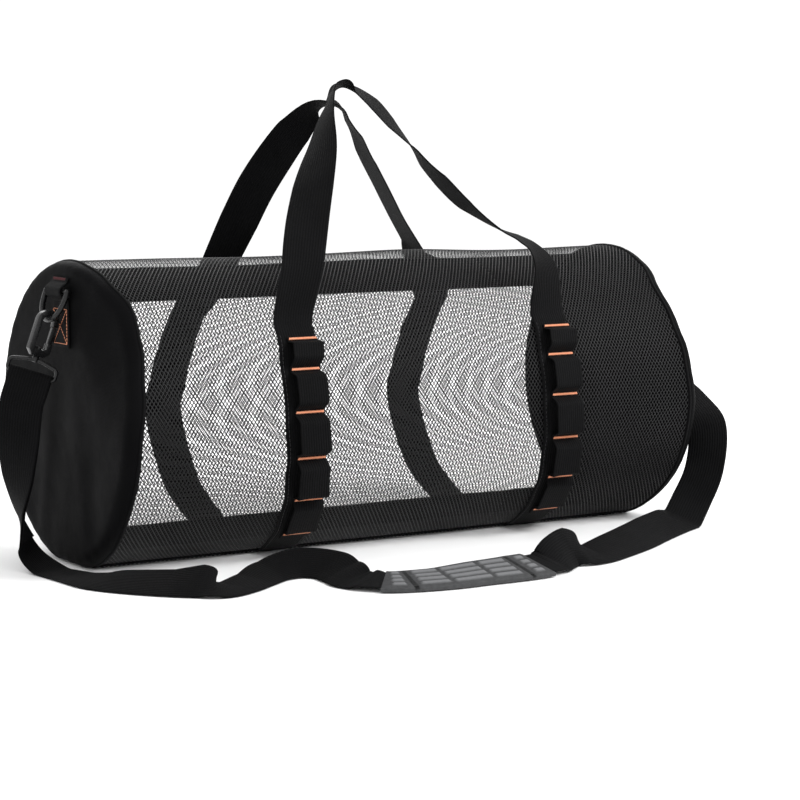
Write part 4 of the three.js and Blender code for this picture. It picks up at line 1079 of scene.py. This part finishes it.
def strap_line(per=10):
    """Middle line, direction and width direction of the strap from the left bar to the right bar,
    lifted so that its lower edge is never below the ground gap."""
    rows = []
    for side, drops in ((-1, (0, 1, 2)), (1, (2, 1, 0))):
        middle, wide, up = swivel_bar(side)
        if side > 0:
            for along, out, high, face, lean in STRAP_PATH:
                face, lean = math.radians(face), math.radians(lean)
                level = math.cos(lean)
                direction = (math.cos(face) * level, math.sin(face) * level, math.sin(lean))
                rows.append(((along * LENGTH - HALF, out * RADIUS, high * RADIUS), direction))
        rows += [(tuple(middle - up * STRAP_DROP * n), tuple(wide)) for n in drops]
    place, ahead = route([row[0] for row in rows], per)
    index = np.arange(len(place)) / per
    across = np.array([row[1] for row in rows])
    across = at_run(np.arange(len(rows)), across, index)
    across = unit(across - (across * ahead).sum(-1, keepdims=True) * ahead)
    run = run_of(place)
    face = np.cross(across, ahead)
    share = run / run[-1]
    on_pad = ease(share, PAD_FROM - PAD_FAR, PAD_FROM - PAD_NEAR)
    on_pad = on_pad * (1 - ease(share, PAD_TO + PAD_NEAR, PAD_TO + PAD_FAR))
    width = WEB_WIDTH + (PAD_WIDTH - WEB_WIDTH) * on_pad
    thick = WEB_THICK + (PAD_THICK - WEB_THICK) * on_pad
    lowest = width / 2 * np.abs(across[:, 2]) + thick / 2 * np.abs(face[:, 2])
    place[:, 2] = np.maximum(place[:, 2], lowest + FLOOR_GAP)
    return place, ahead, across, face, run


STRAP = strap_line()


def shoulder_strap():
    """The whole strap as one length: the doubled tail, the turn over the left bar, the long run, the
    turn over the right bar and the short tail."""
    place, ahead, across, face, run = STRAP
    turn_radius = LOOP_WIRE * 1.42 + 0.4 + WEB_THICK / 2
    layer = WEB_THICK + LAYER_GAP
    spread = lambda distance: 1 - ease(distance, TAIL_START, TAIL_OPEN)
    back = run[-1] - run
    middles, widths = [], []

    def lay_tail(distance, limit):
        """One doubled tail, a layer off the run and opening towards its bar."""
        keep = np.where((distance > TAIL_START) & (distance < limit))[0]
        keep = keep[np.argsort(distance[keep])[::-1]] if distance is run else keep[::-1]
        offset = layer + (turn_radius - layer) * spread(distance[keep])
        middles.append(place[keep] + face[keep] * offset[:, None])
        widths.append(across[keep])

    def turn_over(i, start, way):
        """Half a circle round the bar at one end of the run."""
        turn = np.linspace(0, np.pi, 13)[:, None]
        centre = place[i] + face[i] * start * turn_radius * np.cos(turn)
        middles.append(centre + ahead[i] * way * turn_radius * np.sin(turn))
        widths.append(np.tile(across[i], (13, 1)))

    lay_tail(run, TAIL_LEFT)
    turn_over(0, 1, -1)
    keep = (run >= TAIL_START) & (back >= TAIL_START)
    near = np.minimum(run, back)[keep]
    middles.append(place[keep] - face[keep] * (turn_radius * spread(near))[:, None])
    widths.append(across[keep])
    turn_over(-1, -1, 1)
    lay_tail(back, TAIL_RIGHT)
    return np.vstack(middles), np.vstack(widths)


middle, across = shoulder_strap()
strip = webbing(middle, across, WEB_WIDTH, WEB_THICK)
piece("shoulder_web", strip, WEB, ["shoulder_strap"], sharp=60)


def grip_pad():
    """The rubber sleeve: an oblong section round the webbing. Its upper face is a height over the
    place across u and the share along v: a plate, raised end blocks with short ribs, two cross
    grooves, and four long ribs broken twice. Given back with it is a value for each point that its
    colour follows: painted light on the standing ribs and painted shade in the grooves."""
    place, _, across, _, run = STRAP
    total = run[-1]
    rows = 150
    wanted = np.linspace(PAD_FROM * total + 1, PAD_TO * total - 1, rows)
    centre, side = at_run(run, place, wanted), unit(at_run(run, across, wanted))
    ahead = unit(np.gradient(centre, axis=0))
    side = unit(side - (side * ahead).sum(-1, keepdims=True) * ahead)
    normal = np.cross(side, ahead)
    sign = 1.0 if normal[:, 2].mean() > 0 else -1.0
    v = np.linspace(0, 1, rows)[:, None]
    u = np.linspace(-1, 1, 44)[None, :]
    rise = lambda value, at, soft: ease(value, at - soft, at + soft)
    box = lambda value, low, high, soft: rise(value, low, soft) * (1 - rise(value, high, soft))
    ribs = sum(box(u, c - 0.115, c + 0.115, 0.035) for c in (-0.6, -0.2, 0.2, 0.6))
    long_rib = box(v, 0.185, 0.345, 0.008) + box(v, 0.375, 0.61, 0.008) + box(v, 0.64, 0.805, 0.008)
    short_rib = box(v, 0.045, 0.105, 0.008) + box(v, 0.895, 0.955, 0.008)
    groove = box(v, 0.137, 0.158, 0.006) + box(v, 0.842, 0.863, 0.006)
    edge = 1 - box(u, -0.93, 0.93, 0.03)
    standing = ribs * (long_rib + short_rib)
    height = PAD_THICK / 2 - RIB_HIGH + RIB_HIGH * standing - GROOVE_DEEP * groove * (1 - edge)
    height = height - EDGE_DROP * (np.abs(u) ** 14) + 0 * v
    height *= 1 - 0.25 * (ease(-v, -0.012, 0) + ease(v, 0.988, 1))
    low = -(PAD_THICK / 2 - 0.1) + 0.8 * np.abs(u[:, ::-1]) ** 14 + 0 * v
    outer_u = np.concatenate([u[0], u[0, ::-1]])
    outer_h = np.concatenate([height, low], 1)
    outer = centre[:, None] + side[:, None] * (outer_u * PAD_WIDTH / 2)[None, :, None]
    outer = outer + normal[:, None] * sign * outer_h[..., None]
    inner_u = outer_u * (WEB_WIDTH + PAD_BORE_GAP) / PAD_WIDTH
    inner_h = np.repeat([1.0, -1.0], u.size) * (WEB_THICK + PAD_BORE_GAP) / 2
    inner = centre[:, None] + side[:, None] * (inner_u * PAD_WIDTH / 2)[None, :, None]
    inner = inner + normal[:, None] * inner_h[None, :, None] * sign
    corners = outer.shape[1]
    index = np.arange(2 * rows * corners).reshape(2, rows, corners)
    beside = np.roll(index, -1, 2)
    shell = np.stack([index[0, :-1], index[0, 1:], beside[0, 1:], beside[0, :-1]], -1).reshape(-1, 4)
    bore = np.stack([index[1, :-1], beside[1, :-1], beside[1, 1:], index[1, 1:]], -1).reshape(-1, 4)
    first = np.stack([index[0, 0], beside[0, 0], beside[1, 0], index[1, 0]], -1)
    last = np.stack([index[0, -1], index[1, -1], beside[1, -1], beside[0, -1]], -1)
    points = np.concatenate([outer.reshape(-1, 3), inner.reshape(-1, 3)])
    lay = np.stack(np.broadcast_arrays(outer_u[None, :] * PAD_WIDTH / 2, wanted[:, None]), -1)
    lay = lay.reshape(-1, 2)
    # painted light and shade for the colour: standing ribs lighter, cross grooves darker, the underside and
    # the bore at fixed lower values
    upper = 0.2 + 0.65 * standing - 0.3 * groove
    rib_shading = np.concatenate([upper, 0.25 + 0 * height], 1)
    rib_shading = np.concatenate([rib_shading.ravel(), np.zeros(rib_shading.size)])
    return outwards(points, np.vstack([shell, bore, first, last]), np.vstack([lay, lay])), rib_shading


sleeve, rib_shading = grip_pad()
pad = piece("pad_rubber", sleeve, RUBBER, ["grip_pad"], sharp=55)
# the pad carries its painted rib light and shade as a value on each point, read by its colour
pad.data.attributes.new("rib_shading", "FLOAT", "POINT").data.foreach_set("value", rib_shading.astype(np.float32))


# Black stitching


def drum_row(angle, over):
    """A row of stitches along the drum at one angle."""
    along = np.linspace(ROW_END, LENGTH - ROW_END, 150)
    turn = math.radians(angle)
    up = np.tile([0, math.sin(turn), math.cos(turn)], (len(along), 1))
    return stitches(drum(along, angle, over), up, ROW_PITCH, 3.0, 0.7, 0.55)


rows = [drum_row(a, 0.35) for a in (ZIP_FROM + 0.9, ZIP_TO - 0.9, ZIP_FROM + 7.2, ZIP_TO - 7.2)]
rows += [drum_row(a, 0.3) for a in (BASE_FROM + 1.0, BASE_TO - 1.0, BASE_FROM + 3.2, BASE_TO - 3.2)]
piece("panel_stitches", together(rows), BLACK_THREAD)

rows = []
for sign, low, high in ((-1, -158.0, FOOT_FRONT - 4), (1, FOOT_BACK + 4, 146.0)):
    angle = np.linspace(low, high, 80)
    turn = np.radians(angle)
    up = np.stack([0 * turn, np.sin(turn), np.cos(turn)], -1)
    for ring in (LEFT_RING, RIGHT_RING):
        for edge in (-1, 1):
            along = ring_along(ring, angle) + edge * (WEB_WIDTH / 2 - SELVEDGE_ROW)
            rows.append(stitches(drum(along, angle, LAY + WEB_THICK + 0.05), up, 4.0, 2.9, 0.65, 0.5))
piece("ring_stitches", together(rows), BLACK_THREAD)


# Studio

SENSOR = 36
FOCAL = 2402.8 / 800 * SENSOR  # fitted focal length and width of the photo, both in pixels
CAMERA_AT = (-1.1677, -1.919, 0.3754)
CAMERA_YAW, CAMERA_PITCH = 32.34, -6.3
camera_data = bpy.data.cameras.new("camera")
camera_data.sensor_width = SENSOR
camera_data.lens = FOCAL
camera_data.clip_end = 60
camera = bpy.data.objects.new("camera", camera_data)
bpy.context.scene.collection.objects.link(camera)
camera.location = CAMERA_AT
camera.rotation_euler = (math.radians(90 + CAMERA_PITCH), 0, math.radians(-CAMERA_YAW))
bpy.context.scene.camera = camera

floor_mesh = bpy.data.meshes.new("floor")
floor_corners = [(x * FLOOR_REACH, y * FLOOR_REACH, 0) for x, y in ((-1, -1), (1, -1), (1, 1), (-1, 1))]
floor_mesh.from_pydata(floor_corners, [], [(0, 1, 2, 3)])
floor = bpy.data.objects.new("floor", floor_mesh)
bpy.context.scene.collection.objects.link(floor)
floor_finish = bpy.data.materials.new("floor")
floor_finish.use_nodes = True
floor_shader = floor_finish.node_tree.nodes["Principled BSDF"]
floor_shader.inputs["Base Color"].default_value = (FLOOR_WHITE, FLOOR_WHITE, FLOOR_WHITE, 1)
floor_shader.inputs["Roughness"].default_value = 0.9
floor_shader.inputs["Specular IOR Level"].default_value = 0.1
floor_mesh.materials.append(floor_finish)
floor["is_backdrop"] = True

world = bpy.data.worlds.new("studio")
bpy.context.scene.world = world
world.use_nodes = True
walls = world.node_tree.nodes["Background"]
walls.inputs["Color"].default_value = (1, 1, 1, 1)
walls.inputs["Strength"].default_value = WALL_LIGHT
bpy.context.scene.view_settings.view_transform = "Standard"


def lamp(name, place, aim, size, power):
    """A square soft light that looks from its place to its aim."""
    data = bpy.data.lights.new(name, "AREA")
    data.shape = "SQUARE"
    data.size = size
    data.energy = power
    made = bpy.data.objects.new(name, data)
    bpy.context.scene.collection.objects.link(made)
    made.location = place
    way = np.array(aim, float) - np.array(place, float)
    pitch = math.acos(-way[2] / np.linalg.norm(way))
    made.rotation_euler = (pitch, 0, math.atan2(way[1], way[0]) - math.pi / 2)


for row in LAMPS:
    lamp(*row)

sizes = {
    "cad": [list(corner) for corner in cad_box],
    "visual": [list(corner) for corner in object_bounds()],
}
